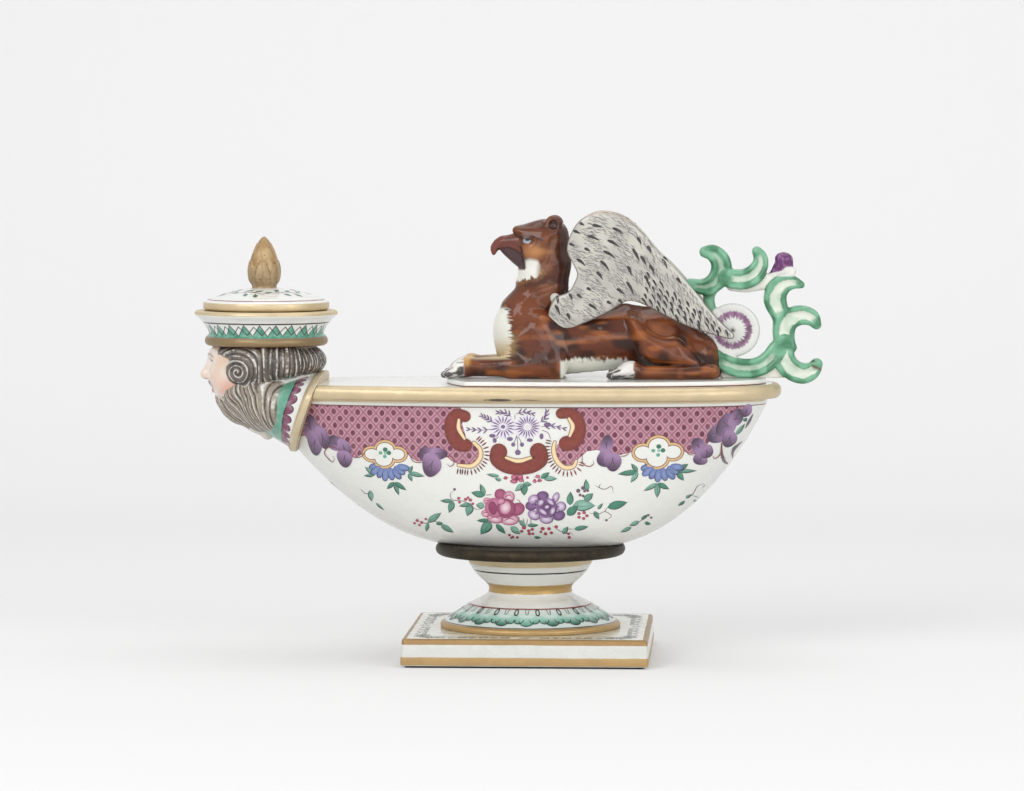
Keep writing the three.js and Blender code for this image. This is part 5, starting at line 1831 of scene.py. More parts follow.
def build_bud():
    heights = np.concatenate([np.linspace(146.8, 167, 120), [167.3, 167.5, 167.6]])
    outline = np.array([(146.8, 5.2), (147.3, 5.0), (148.2, 5.2), (149.6, 5.8), (151.4, 6.25), (153.4, 6.4),
                        (155.4, 6.3), (157.5, 5.9), (160, 5.1), (162.4, 4.2), (164.4, 3.2), (166, 2.2),
                        (167, 1.3), (167.6, 0.05)])
    radii = np.interp(heights, outline[:, 0], outline[:, 1])
    kernel = np.ones(5) / 5
    radii[2:-5] = np.convolve(radii, kernel, "same")[2:-5]
    angles = np.arange(160) / 160 * TAU
    petals = 6
    z = heights[:, None]
    ring = angles[None, :]
    phase = (ring * petals / TAU) % 1
    tip = 158.6
    half = np.clip((tip - z) / 7.0, 0, 1) ** 0.55 * 0.5
    from_edge = half - np.abs(phase - 0.5)
    outer = ramp(from_edge, -0.02, 0.05) * ramp(tip - z, -0.2, 0.8)
    inner_phase = ((ring * petals / TAU) + 0.5) % 1
    inner_half = np.clip((165.0 - z) / 8.0, 0, 1) ** 0.6 * 0.5
    inner = ramp(inner_half - np.abs(inner_phase - 0.5), -0.03, 0.06)
    vein = fall(np.abs(phase - 0.5), 0.0, 0.05)
    lift = 0.5 * outer * ramp(z, 147.5, 150) + 0.3 * inner - 0.16 * vein * outer * ramp(z, 148, 151)
    r = np.maximum(radii[:, None] - 0.45 + lift, 0.02)
    x = NOZZLE_X - 0.8 + r * np.cos(ring)
    y = r * np.sin(ring)
    points = np.stack([x, y, np.broadcast_to(z, r.shape)], axis=-1).reshape(-1, 3)
    faces = grid_faces(len(heights), len(angles))
    faces.append(tuple(reversed(range(len(angles)))))
    glaze = Glaze("bud_gilding")
    cloud = glaze.noise(4.0, 5, rough=0.6)
    tint = glaze.mix(glaze.step(cloud, 0.35, 0.65), srgb(188, 162, 120), srgb(158, 126, 82))
    tint = glaze.mix(glaze.times(glaze.field("low"), 0.6), tint, srgb(150, 132, 104))
    specks = glaze.less(1.0, glaze.step(glaze.noise(1.1, 2), 0.28, 0.34))
    # painted shade, a browner tone, in the grooves along the leaf edges and down the veins
    tint = glaze.mix(glaze.times(glaze.field("groove"), 0.35), tint, srgb(120, 88, 52))
    tint = glaze.mix(glaze.times(specks, 0.85), tint, srgb(64, 46, 36))
    material = glaze.finish(tint, 0.24, glaze.math("MULTIPLY_ADD", cloud, 0.5, 0.3), bump=0.25, ripple=2.4)
    bud = make_object("lid_bud_leaves", points, faces, "nozzle_lid", ["lid_bud"], material)
    field(bud, "low", np.repeat(1 - ramp(heights, 150, 160), len(angles)))
    # where the painted shade of the grooves lies: along the leaf edges and down the veins
    edge = glow((from_edge, 0.05)) * ramp(tip - z, -0.4, 0.6)
    field(bud, "groove", np.clip(edge + 0.5 * vein * outer, 0, 1).reshape(-1))


# Griffin

VOXEL = 0.45

GRIFFIN_BODY = [
    # chest, breast keel and the long trunk
    ball((0.6, 0, 128.5), (14.4, 11.6, 12.6), 8, 3),
    limb((4, 0, 124), (38, 0, 126), 12.4, 11.0, 5),
    limb((10, 0, 127), (34, 0, 129), 10.5, 9.6, 5),
    limb((-6.6, 0, 132.3), (-7.0, 0, 122.4), 7.4, 6.2, 5),
    ball((-2.4, 0, 137.5), (8.6, 9.4, 9), 0, 4),
    # back and rump
    limb((34, 0, 128.6), (52, 0, 128.4), 9.4, 10.4, 5),
    limb((50, 0, 127.4), (66.4, 0, 119.6), 10.6, 9.4, 5),
    limb((66, 0, 120), (71.6, 0, 114), 8.6, 4.6, 4),
    limb((38, 0, 136.6), (62, 0, 129.6), 3.2, 3.2, 5),
]
GRIFFIN_LEGS = [
    # shoulder, upper arm and elbow
    limb((3.4, 9.2, 131), (9.4, 11.0, 118.5), 6.6, 5.0, 5),
    limb((-2.8, 8.2, 126), (2, 10.0, 119.4), 5.8, 4.8, 5),
    limb((9.8, 11.4, 118.6), (10.8, 11.8, 114.6), 4.6, 3.6, 3),
    # forearm, wrist and paw
    limb((8.6, 11.4, 115.9), (-6, 11.0, 116.3), 4.8, 4.3, 3),
    limb((-6, 11.0, 116.3), (-24, 10.4, 115.9), 4.3, 3.6, 3),
    ball((-24.2, 10.4, 117.6), (2.6, 3.4, 2.6), 0, 2),
    ball((-27.4, 10.3, 115.4), (4.6, 4.4, 3.6), -8, 2.5),
    limb((-28, 7.9, 114.4), (-33.0, 7.6, 112.9), 1.9, 1.5, 1.0),
    limb((-28, 9.7, 114.8), (-33.9, 9.6, 112.9), 2.0, 1.5, 1.0),
    limb((-28, 11.5, 114.7), (-33.6, 11.7, 112.9), 1.9, 1.5, 1.0),
    limb((-28, 13.0, 114.2), (-32.2, 13.6, 112.8), 1.7, 1.4, 1.0),
]
THIGH = [
    (36.7, 134.6), (37.6, 137.4), (40.8, 138.6), (44.4, 137.2), (49, 132.9), (54.3, 130.6), (59.6, 129.6),
    (64, 126.4), (69, 122), (72.8, 117.4), (74, 113.6), (66, 113.2), (56, 114.2), (49, 115.6), (44.6, 117.6),
    (41, 121.6), (38.4, 127.8),
]
GRIFFIN_HAUNCH = [
    pillow(THIGH, [(36, 13.6), (46, 16), (60, 16.2), (74, 13.4)], 6, 1.5),
    # lower leg along the ground, heel and hind paw
    limb((72.6, 12.6, 114.6), (60, 14.6, 114.0), 3.1, 2.7, 0.7),
    limb((60, 14.6, 114.0), (43, 15.0, 114.3), 2.7, 2.8, 0.7),
    ball((39.6, 14.8, 115.3), (5.0, 4.2, 3.4), -22, 2),
    limb((39, 12.4, 115), (33.0, 12.0, 112.8), 1.8, 1.4, 1.0),
    limb((39, 14.0, 115.6), (32.0, 13.9, 112.9), 1.9, 1.4, 1.0),
    limb((39, 15.8, 115.4), (32.4, 16.0, 112.9), 1.8, 1.4, 1.0),
    limb((39.5, 17.2, 114.6), (34.0, 17.8, 112.8), 1.5, 1.3, 1.0),
]
HEAD_SIDE = [
    (-6.4, 168.4), (-7.2, 170.2), (-5.8, 171.8), (-2.4, 172.6), (1.9, 173.4), (6.2, 174.0), (11, 173.6),
    (13.6, 172), (14.5, 169.6), (14.7, 166.4), (15.2, 162.3), (16.3, 158.3), (16.2, 155), (15.3, 149.8),
    (15.0, 145), (12, 138), (0, 136), (-9.8, 140.4), (-9.2, 142.2), (-7.1, 144.5), (-5.9, 147.2),
    (-6.0, 149.8), (-5.0, 152), (-4.9, 155), (-3.4, 158), (-3.2, 163),
]
UPPER_BEAK = [
    (-15.3, 160.2), (-16.1, 162.4), (-15.9, 164.0), (-14.5, 166.1), (-12, 167.8), (-9.5, 168.2),
    (-6.6, 168.8), (-2.6, 168.6), (-1.8, 164), (-2.2, 159.8), (-4.2, 161.6), (-7.6, 163.3), (-11.0, 163.3),
    (-13.0, 161.9), (-14.1, 160.2),
]
LOWER_BEAK = [
    (-12.2, 162.2), (-12.2, 164), (-11.0, 165.6), (-7.4, 166), (-3.6, 164.6), (-1.8, 161), (-1.8, 157.8),
    (-2.8, 155.9), (-4.6, 155.3), (-6.4, 156.4), (-8.4, 158.2), (-10.8, 160.4),
]
GRIFFIN_HEAD = [
    pillow(HEAD_SIDE, [(-10, 6.4), (-4, 7.0), (4, 8.2), (12, 8.6), (17, 8)], 7.5, 3),
    ball((6.2, 0, 166.5), (8.6, 7.6, 7.4), 0, 3),
    # brow ridges over the eyes
    limb((-5.4, 2.8, 170.1), (4.2, 6.0, 168.9), 1.5, 1.2, 1.6),
    # cheek below the eye
    ball((1.4, 4.0, 161.8), (5.0, 3.9, 4.6), 0, 2.5),
    pillow(LOWER_BEAK, [(-12, 1.4), (-9, 2.3), (-5, 3.2), (-2, 3.8)], 2.6, 0.5),
    pillow(UPPER_BEAK, [(-16, 1.2), (-12, 2.4), (-8, 3.4), (-2, 4.8)], 3.2, 0.5),
    # rounded ears
    ball((9.4, 5.0, 172.6), (3.6, 2.4, 3.6), 0, 1.2),
]


def build_griffin():
    clay = Clay((-38, 0, 107), (80, 24, 180), VOXEL)
    for forms in (GRIFFIN_BODY, GRIFFIN_LEGS, GRIFFIN_HAUNCH, GRIFFIN_HEAD):
        clay.add(*forms)
    clay.cut(
        # mouth line, ear hollows, nostrils and eye sockets
        limb((-12.2, 3.2, 162.3), (-8.6, 4.2, 163.2), 0.6, 0.7, 0.4),
        limb((-8.6, 4.2, 163.4), (-3.4, 5.6, 160.6), 0.7, 0.8, 0.4),
        ball((9.4, 7.6, 172.6), (2.1, 1.9, 2.1), 0, 0.5),
        ball((-8.4, 3.6, 166.5), (0.75, 0.8, 0.75), 0, 0.3),
        ball((-0.8, 8.0, 166.5), (2.7, 1.7, 1.6), -8, 0.8),
        # fold between the thigh and the rump
        limb((66.0, 16.6, 130.5), (72.4, 15.4, 117), 1.2, 1.0, 1.4),
        # groove behind the jaw
        limb((5.5, 9.9, 157), (9.5, 9.0, 167), 1.4, 1.0, 1.5),
    )
    clay.add(ball((-0.9, 6.3, 166.5), (1.6, 1.15, 1.2), 0, 0.3))
    clay.add(limb((-3.1, 6.0, 167.7), (2.4, 7.3, 167.3), 0.6, 0.6, 0.5))
    clay.add(limb((-2.6, 6.0, 165.4), (1.8, 7.0, 165.3), 0.45, 0.45, 0.5))

    def folds(x, y, z):
        """Soft muscle and fur furrows, and ribs under the wing."""
        ribs = 0.08 * np.sin(1.15 * x + 0.35 * z) * ramp(x, 14, 18) * fall(x, 32, 36) * fall(z, 128, 134)
        neck = 0.03 * np.sin(2.1 * (z - 0.5 * x + np.sin(0.6 * z))) * ramp(z, 132, 137) * fall(z, 151, 154)
        haunch = 0.1 * np.sin(0.8 * (z + 0.6 * x)) * ramp(x, 42, 46) * fall(x, 66, 70) * ramp(z, 118, 121)
        return ribs + neck + haunch + 0 * y

    clay.carve(folds, (-20, 0, 112), (78, 24, 160))
    floor = PLATE_TOP + 0.02
    clay.distance = np.maximum(clay.distance, (floor - clay.axes[2])[None, None, :])
    points, faces = clay.mesh()
    points = relaxed(points, faces)
    points[:, 2] = np.maximum(points[:, 2], floor)
    material = painted("griffin_glaze", 0.09, mottle=0.06, bump=0.25)
    shader = material.node_tree.nodes["Principled BSDF"]
    shader.inputs["Specular IOR Level"].default_value = 0.34
    griffin = make_object("griffin", points, faces, "griffin_cover",
                          ["griffin_torso", "foreleg_left", "foreleg_right", "griffin_head"], material)
    paint(griffin, griffin_colours(points, hollowness(points, faces)))


def griffin_colours(points, hollow):
    x, y, z = points.T
    side = np.abs(y)
    broad = value_noise(points * (0.6, 1, 1), 9, 1)
    streak = value_noise(points * (0.45, 1.2, 1.6), 3.2, 2)
    fine = value_noise(points, 1.1, 3)
    colour = blend(BROWN, srgb(124, 68, 40), ramp(broad, 0.35, 0.75) * 0.8)
    colour = blend(colour, srgb(44, 24, 20), ramp(value_noise(points, 6, 4), 0.42, 0.72) * 0.85)
    colour = blend(colour, srgb(170, 100, 50), ramp(streak, 0.5, 0.85) * 0.62)
    # painted highlight on the sharp ridges and painted shade in the deep folds
    colour = blend(colour, BROWN_RIDGE_HIGHLIGHT, ramp(-hollow, 0.15, 0.8) * 0.45)
    colour = blend(colour, BROWN_FOLD_SHADE, ramp(hollow, 0.05, 0.7) * 0.85)
    # darker back, crest and shoulders
    back = ramp(z - np.interp(x, [-10, 15, 40, 62, 76], [150, 138, 134, 128, 116]), -3, 4)
    colour = blend(colour, srgb(92, 52, 36), back * 0.55)
    nape = ramp(x, 8, 14) * ramp(z, 140, 146)
    colour = blend(colour, srgb(70, 40, 34), nape * 0.8)
    shoulder = glow((x - 3.5, 5.0), (z - 126, 6.0)) * ramp(side, 6, 10)
    colour = blend(colour, srgb(92, 48, 38), shoulder * 0.7)
    # warm cheek
    cheek = glow((x - 2.5, 5.5), (z - 161.8, 3.4))
    colour = blend(colour, srgb(190, 132, 84), cheek * (0.35 + 0.5 * ramp(streak, 0.3, 0.7)))
    # white belly with a ragged upper edge
    upright = value_noise(points * (1, 0.6, 0.16), 0.62, 6)
    ragged = 2.6 * (upright - 0.5) + 0.8 * (streak - 0.5)
    belly = ramp(-(z - 119.0 - ragged), -0.8, 0.8) * ramp(x, 12.2, 13.2) * fall(x, 38.5, 40)
    belly *= 1 - ramp(side, 10.2, 10.8) * ramp(x, 31, 33)
    fringe = glow((z - 120.2 - ragged, 1.3)) * ramp(x, 13, 16) * fall(x, 36, 38)
    colour = blend(colour, srgb(70, 42, 32), fringe * 0.6)
    colour = blend(colour, srgb(226, 226, 216), belly)
    # white chest between the arms, brushed over into the brown with fine level strokes
    chest_line = np.interp(z, [117, 121, 128, 135, 139.5, 141], [-7.9, -7.6, -7.0, -7.6, -8.6, -11.5])
    brushed = value_noise(points * (0.25, 0.6, 2.6), 1.0, 8)
    shadow = glow((x + 5.5, 3.6), (z - 122.5, 3.6))
    colour = blend(colour, srgb(62, 40, 34), shadow * (0.4 + 0.5 * brushed))
    chest = (ramp(chest_line - x + 3.4 * (brushed - 0.5), -0.8, 1.2) * ramp(z, 118.5, 120.5)
             * fall(z, 138.5, 140))
    tan = (ramp(chest_line + 2.4 - x + 2.0 * (brushed - 0.5), -2.4, 2.4) * fall(z, 126, 131)
           * ramp(z, 119, 123))
    colour = blend(colour, srgb(190, 158, 110), tan * 0.6)
    colour = blend(colour, blend(srgb(206, 184, 142), srgb(230, 230, 220), ramp(z, 121, 129)), chest)
    # white throat with a jagged collar edge
    jagged = 149.4 + 0.3 * (x + 6) + 2.4 * (value_noise(points * (1, 1, 0.15), 0.6, 7) - 0.5)
    throat = (ramp(z - jagged, -0.3, 0.5)
              * fall(z - np.interp(x, [-6, 0, 3.5, 6], [156.5, 158.6, 158, 153]), -0.8, 1.2))
    throat *= fall(x + 0.5 * side - 0.1 * (z - 150), 5.4, 9.0)
    collar = ramp(z - jagged, -2.4, 0.3) * fall(z - jagged, 0.2, 3) * fall(x, 4, 8)
    colour = blend(colour, srgb(196, 150, 96), collar * 0.5)
    colour = blend(colour, srgb(232, 232, 224), throat)
    edge = glow((z - jagged + 0.5, 0.55)) * fall(x, 5, 8) * ramp(z, 147, 148)
    colour = blend(colour, srgb(92, 62, 38), edge * 0.8)
    # beak
    beak_back = np.interp(z, [154, 158, 161, 163, 166, 168.4], [-1.8, -2.2, -2.9, -3.4, -5.2, -6.4])
    beak = ramp(beak_back - x, -0.25, 0.25) * ramp(z, 154.2, 154.8) * fall(z, 168.6, 169)
    colour = blend(colour, blend(BEAK, srgb(132, 70, 60), ramp(broad, 0.4, 0.8)), beak)
    mouth_z = np.interp(x, [-15.5, -13.4, -8.6, -5.4, -3.4, -2.6], [161.4, 162.5, 163.4, 162.1, 160.4, 158.8])
    colour = blend(colour, srgb(78, 56, 58), beak * ramp(mouth_z - z, 0.1, 0.7) * ramp(x, -13.4, -12.6))
    rim = glow((x - beak_back, 0.5)) * fall(z, 163.5, 164.5) * ramp(z, 154.5, 155.5)
    colour = blend(colour, srgb(48, 34, 34), rim * 0.9)
    mouth = glow((z - mouth_z, 0.4)) * ramp(x, -14, -13)
    colour = blend(colour, srgb(40, 24, 24), mouth * beak * 0.95)
    nostril = glow((x + 8.4, 0.7), (z - 166.6, 0.65)) * ramp(side, 1, 2)
    colour = blend(colour, srgb(26, 34, 30), nostril)
    # eye: white below, dark iris above, dark brow stroke
    white = ramp(1 - np.sqrt(((x + 1.2) / 1.8) ** 2 + ((z - 166.0) / 0.95) ** 2), 0, 0.2) * ramp(side, 3, 4)
    colour = blend(colour, srgb(168, 180, 196), white)
    iris = ramp(1 - np.sqrt(((x + 0.9) / 1.15) ** 2 + ((z - 166.7) / 0.85) ** 2), 0, 0.25) * ramp(side, 3, 4)
    colour = blend(colour, srgb(24, 24, 30), iris)
    stroke_z = np.interp(x, [-4.5, -1, 2, 5.5], [167.4, 168.1, 167.6, 166.4])
    brow = glow((z - stroke_z, 0.4)) * ramp(x, -4.6, -4) * fall(x, 5, 6) * ramp(side, 3, 4)
    colour = blend(colour, srgb(44, 28, 24), brow * 0.9)
    # ear hollow
    ear = glow((x - 9.6, 1.9), (z - 172.6, 1.8)) * ramp(side, 5.6, 6.4)
    colour = blend(colour, srgb(52, 44, 48), ear)
    # white paws with black strokes
    fore = fall(x + 0.6 * (fine - 0.5), -26.2, -25.4) * fall(z, 121, 122)
    hind = (ramp(42 - x + 1.4 * (fine - 0.5), -0.4, 0.6) * ramp(x, 29, 30) * ramp(side, 9.8, 10.6)
            * fall(z, 119, 120))
    paws = np.maximum(fore, hind)
    colour = blend(colour, srgb(226, 224, 218), paws)
    lines = np.clip(value_noise(points * (0.35, 2.6, 1.2), 1.3, 5) * 1.6 - 0.66, 0, 1)
    low = fall(z, 113.4, 117.4)
    colour = blend(colour, srgb(30, 28, 30), paws * ramp(lines + 0.45 * low, 0.36, 0.6) * 0.92)
    tan_wrist = glow((x + 24.6, 1.3)) * ramp(z, 115.5, 118) * fall(z, 121, 122)
    colour = blend(colour, srgb(206, 160, 92), tan_wrist * 0.8)
    return colour


# Wings

WING_OUTLINE = [
    (7.7, 135), (8, 139.6), (11, 144), (15.8, 146.3), (18.4, 150.8), (19, 153.6), (17.2, 157.5), (15, 162.6),
    (16.4, 168.7), (19.5, 173.8), (24, 176.9), (28.4, 177.8), (35.2, 176.6), (40.8, 173.2), (45.3, 168.7),
    (51.5, 161.4), (56, 157.5), (63.2, 149.6), (71.1, 140.1), (76.7, 133.9), (81.2, 129.6), (81.4, 127.8),
    (79.3, 127.2), (71.1, 129.4), (62.7, 132.2), (54.3, 136.2), (45.8, 140.7), (41.9, 142.1), (38.6, 142.1),
    (35.2, 140.1), (30.7, 137.3), (22.3, 133.4), (14.4, 130), (11, 131.1),
]
WING_MIDDLE = 9.4
WING_HALF_THICK = 1.8
WING_LEAN = 0.16
WING_HINGE = 130.0


def build_wings():
    clay = Clay((2, 0, 124), (86, 24, 181), 0.4)
    x, y, z = clay.axes
    flat_x, flat_z = np.meshgrid(x, z, indexing="ij")
    outline = smooth_loop(WING_OUTLINE, 260)
    edge = loop_distance(flat_x, flat_z, outline).astype(np.float32)
    depth = np.maximum(-edge, 0)
    splay = WING_LEAN * np.maximum(flat_z - WING_HINGE, 0)
    # slightly pillowed, with raised rows of feathers that fan from the shoulder
    fan = np.hypot(flat_x - 8, flat_z - 128)
    rows = np.sin(fan * 0.62 + 0.5 * np.sin(np.arctan2(flat_z - 128, flat_x - 8) * 5))
    thick = WING_HALF_THICK - 0.75 * np.exp(-depth / 3.0) + 0.1 * rows * ramp(depth, 1.0, 4.0)
    across = np.abs(y[None, :, None] - (WING_MIDDLE + splay)[:, None, :])
    shell = -smooth_min(-edge[:, None, :], -(across - thick[:, None, :]), 1.6)
    clay.distance = shell.astype(np.float32)
    # the small rolled knob at the top of the shoulder
    clay.add(ball((10.2, 9.4, 143.6), (2.0, 2.0, 1.9), 0, 2.0))
    points, faces = clay.mesh()
    points = relaxed(points, faces)
    material = painted("feather_glaze", 0.1, mottle=0.03, bump=0.3)
    wings = make_object("wings", points, faces, "griffin_cover",
                        ["wing_left", "wing_right"], material)
    x, _, z = points.T
    edge_at = loop_distance(x, z, outline)
    colour = blend(srgb(203, 200, 190), srgb(184, 181, 174), ramp(value_noise(points, 6, 8), 0.35, 0.7) * 0.8)
    brown = ramp(z - np.interp(x, [10, 20, 28, 40, 60], [180, 172, 174, 170, 190]), 0, 1.5)
    colour = blend(colour, srgb(168, 140, 112), brown * ramp(edge_at, -1.0, -0.3) * 0.55)
    rim = ramp(edge_at, -0.75, -0.35) * fall(x, 20, 26) * fall(edge_at, 0.3, 0.6)
    colour = blend(colour, srgb(96, 92, 92), rim * 0.7)
    under = ramp(edge_at, -0.8, -0.4) * fall(z, 141, 143) * ramp(x, 12, 16)
    colour = blend(colour, srgb(70, 62, 60), under * 0.75)
    paint(wings, colour)
    for side in (-1, 1):
        draw_feathers(wings, side, CAST_FROM, "outer")
        draw_feathers(wings, side, 0, "inner")


# Long dashes on the wing as [x, z, length in mm, downward slope in degrees]
WING_DASHES = [
    (17.9, 170.4, 3.0, 26), (20.3, 173.5, 2.2, 30), (16.2, 165.3, 2.4, 28), (25.4, 172.6, 4.0, 14),
    (23.4, 168.4, 5.2, 22), (33.3, 171.5, 4.9, 29), (31.3, 166.7, 5.6, 31), (22.2, 163.5, 2.8, 32),
    (29.7, 162.4, 5.6, 32), (19.1, 159.2, 4.6, 39), (28.5, 158.5, 5.6, 50), (27, 154.1, 3.9, 53),
    (41.2, 163.2, 5.8, 62), (43.0, 167.8, 3.4, 61), (44.4, 160.4, 4.5, 60), (47.0, 164.4, 3.4, 64),
    (52.7, 159.2, 4.6, 60), (39.2, 156.4, 4.2, 68), (45.9, 152.6, 3.2, 61), (47.9, 156.9, 4.4, 64),
    (58.6, 151.8, 2.9, 56), (38.8, 150.2, 6.0, 63), (34.9, 147.4, 3.6, 38), (23, 147.7, 2.3, 33),
    (23.8, 141.1, 4.2, 34), (19.1, 145.2, 2.7, 43), (16, 145.4, 3.0, 66), (11.2, 144.3, 3.2, 85),
    (10.4, 140.7, 4.4, 64), (15.1, 137.5, 3.0, 67), (30.9, 142.3, 2.3, 31), (35.5, 143.0, 2.0, 40),
]


def feather_slope(x, z):
    """How steeply feathers hang at a place on the wing, in degrees below level."""
    along = np.interp(x + 0.35 * (178 - z), [14, 30, 46, 60, 90], [22, 34, 58, 66, 68])
    root = glow((x - 11, 7), (z - 139, 7))
    return along * (1 - root) + 66 * root


def draw_feathers(wings, side, start, face):
    """Strokes on a wing's outer face, met from outside, or on its inner face, met from the middle."""
    toward = -side if start else side
    decals = Decals(wings, lambda u, v: ((u, start * side, v), (0, toward, 0)))
    loop = smooth_loop(WING_OUTLINE, 160)
    swell = np.array([0.55, 1.0, 1.0, 0.75, 0.45, 0.08])

    def dash(x, z, length, slope, width, colour, layer):
        down = math.radians(slope)
        bow = 0.06 * length
        step = (math.cos(down), -math.sin(down))
        middle = (x + step[0] * length / 2 + bow * math.sin(down),
                  z + step[1] * length / 2 + bow * math.cos(down))
        end = (x + step[0] * length, z + step[1] * length)
        path = curve_through([(x, z), middle, end], 5)
        across = left_of(path) * (0.5 * width * swell)[:, None]
        decals.strip(path - across, path + across, colour, layer)

    for x, z, length, slope in WING_DASHES:
        dash(x, z, length, slope, 1.15, INK, 3)
    # rows of dark dashes towards the tip
    row, k = (part.ravel() for part in np.meshgrid(np.arange(13), np.arange(7), indexing="ij"))
    along = 0.08 + row * 0.072 + rng.uniform(-0.012, 0.012, row.size)
    across = (k + 0.5 * (row % 2)) * 0.16 - 0.02 + rng.uniform(-0.02, 0.02, row.size)
    x = 44 + 36 * along - 3 * across
    z = 155.5 - 26 * along - 17 * across * (1 - 0.55 * along)
    fits = (loop_distance(x, z, loop) < -0.9) & (loop_distance(x + 1.2, z - 2.6, loop) < -0.3)
    for px, pz in zip(x[fits], z[fits]):
        slope = feather_slope(px, pz) + rng.uniform(-8, 8)
        dash(px, pz, rng.uniform(2.4, 4.2), slope, rng.uniform(0.6, 1.0), INK, 3)
    # fine grey strokes in patches
    x, z = (part.ravel()
            for part in np.meshgrid(np.arange(8, 81, 1.15), np.arange(127, 178, 0.85), indexing="ij"))
    x = x + rng.uniform(-0.6, 0.6, x.size)
    z = z + rng.uniform(-0.4, 0.4, z.size)
    patch = np.sin(x * 0.55 + 1.1 * np.sin(z * 0.42)) + np.sin(z * 0.75 + 0.6 * x)
    fits = (loop_distance(x, z, loop) < -0.7) & (patch + rng.uniform(-0.9, 0.9, x.size) > -0.55)
    for px, pz in zip(x[fits], z[fits]):
        slope = feather_slope(px, pz) + rng.uniform(-16, 16) - (14 if px < 42 else 0)
        tone = blend(srgb(158, 150, 152), srgb(104, 98, 100), rng.uniform(0, 1) ** 2)
        dash(px, pz, rng.uniform(1.3, 2.8), slope, rng.uniform(0.2, 0.34), tuple(tone), 2)
    which = "left" if side < 0 else "right"
    decals.build(f"wing_strokes_{which}_{face}", "griffin_cover")


# Tail scrolls in the plane of the figure: [x, z, half width] along each centre line

SCROLLS = {
    "crest": [(69.6, 161.6, 2.3), (72.8, 161.2, 3.3), (75.4, 158.6, 3.9), (76.2, 155, 4.2), (75, 151.4, 4.1),
              (72.2, 148.6, 3.7), (68.4, 147.7, 3.1), (63.6, 148.8, 2.2)],
    "crown": [(90.2, 161.9, 2.0), (91.6, 159.4, 2.8), (91.5, 156.4, 3.3), (89.4, 153.2, 3.8),
              (86, 151.2, 3.9), (82.4, 150.9, 3.8), (78.6, 151.4, 3.6)],
    "upper": [(107.8, 148.6, 1.5), (104.6, 149.5, 2.6), (101, 148.9, 3.7), (98.3, 146.2, 4.4),
              (97.5, 142.8, 4.6), (98.6, 139.2, 4.1), (100, 136.2, 3.4)],
    "middle": [(114.0, 132.8, 2.0), (111.9, 135.6, 3.3), (108, 136.5, 3.9), (104.2, 135.4, 4.2),
               (101.7, 132.6, 4.4), (101.1, 129, 4.3), (102.6, 125.4, 3.0), (104.6, 123.6, 1.7)],
    "lower": [(101.4, 124.8, 4.0), (101, 120.6, 4.3), (102.4, 117, 4.3), (105.3, 114.3, 4.3),
              (109, 113.3, 4.1), (112.2, 114.4, 3.4), (114.1, 116.9, 2.5)],
    "foot": [(74.4, 119.6, 3.0), (76.4, 118.3, 3.4), (80.2, 116.4, 3.6), (85.9, 115.4, 3.7),
             (91.4, 116.3, 3.7), (95.6, 119.2, 3.7), (98.2, 122.8, 3.6)],
}
LINKS = [
    [(72.4, 147.4, 2.6), (71.2, 143.2, 2.3), (72.2, 138.4, 2.2), (74.6, 134.6, 2.4)],
    [(98.9, 138, 2.6), (98.9, 130, 2.2), (99.2, 122.6, 2.6)],
]
WEBS = [
    [(80, 147.8, 1.8), (86, 147.6, 2.2), (92, 149.2, 2.8), (96.4, 149.6, 2.6)],
    [(78, 112.2, 2.4), (86, 111.9, 2.6), (94, 112.6, 3.2), (99, 114.4, 3.4)],
    [(93.4, 150.8, 2.2), (98, 150.9, 2.4), (101.8, 152.3, 2.6), (104.2, 153.9, 1.8)],
    [(74, 128, 2.4), (73.8, 124, 2.2), (75, 120, 2.2)],
]
ROSETTE = (80.8, 130.5)
ROSETTE_RADIUS = 10.8
TAIL_HALF_DEPTH = 4.4


def band_distance(x, z, line):
    """For flat places: the distance to a centre line over its half width, the part of the way along
    it, and the distance to its edge, negative inside."""
    line = np.array(line, float)
    steps = 36
    fine = curve_through(line, steps)
    best = np.full(x.shape, 1e9)
    ratio = np.full(x.shape, 9.0)
    way = np.zeros(x.shape)
    for k, (px, pz, half) in enumerate(fine):
        gap = np.hypot(x - px, z - pz)
        closer = gap - half < best
        best = np.where(closer, gap - half, best)
        ratio = np.where(closer, gap / half, ratio)
        way = np.where(closer, k / steps, way)
    return best, ratio, way


def tail_relief(x, z):
    """The tail's edge distance, half depth, colour zone and ratio across its bands, for flat places."""
    edge = np.full(x.shape, 1e9)
    depth = np.full(x.shape, 2.2)
    zone = np.zeros(x.shape)
    across = np.full(x.shape, 9.0)
    way_of = np.zeros(x.shape)
    parts = [(line, 2.4, 2) for line in WEBS] + [(line, 3.0, 1) for line in LINKS]
    parts += [(line, TAIL_HALF_DEPTH, 3 + k) for k, line in enumerate(SCROLLS.values())]
    for line, full, kind in parts:
        gap, ratio, way = band_distance(x, z, line)
        profile = np.full(x.shape, full)
        if kind >= 3:
            ends = ramp(way, 0.03, 0.2) * fall(way, 0.84, 0.98)
            profile = full - 1.15 * fall(ratio, 0.2, 0.62) * ends - 0.5 * (1 - ends)
        wins = gap < edge if kind < 3 else (gap < 0.35) | (gap < edge)
        depth = np.where(wins & (gap < 1.5), profile, depth)
        zone = np.where(wins, kind, zone)
        across = np.where(wins, ratio, across)
        way_of = np.where(wins, way, way_of)
        edge = smooth_min(edge, gap, 0.8)
    return edge, depth, zone, across, way_of


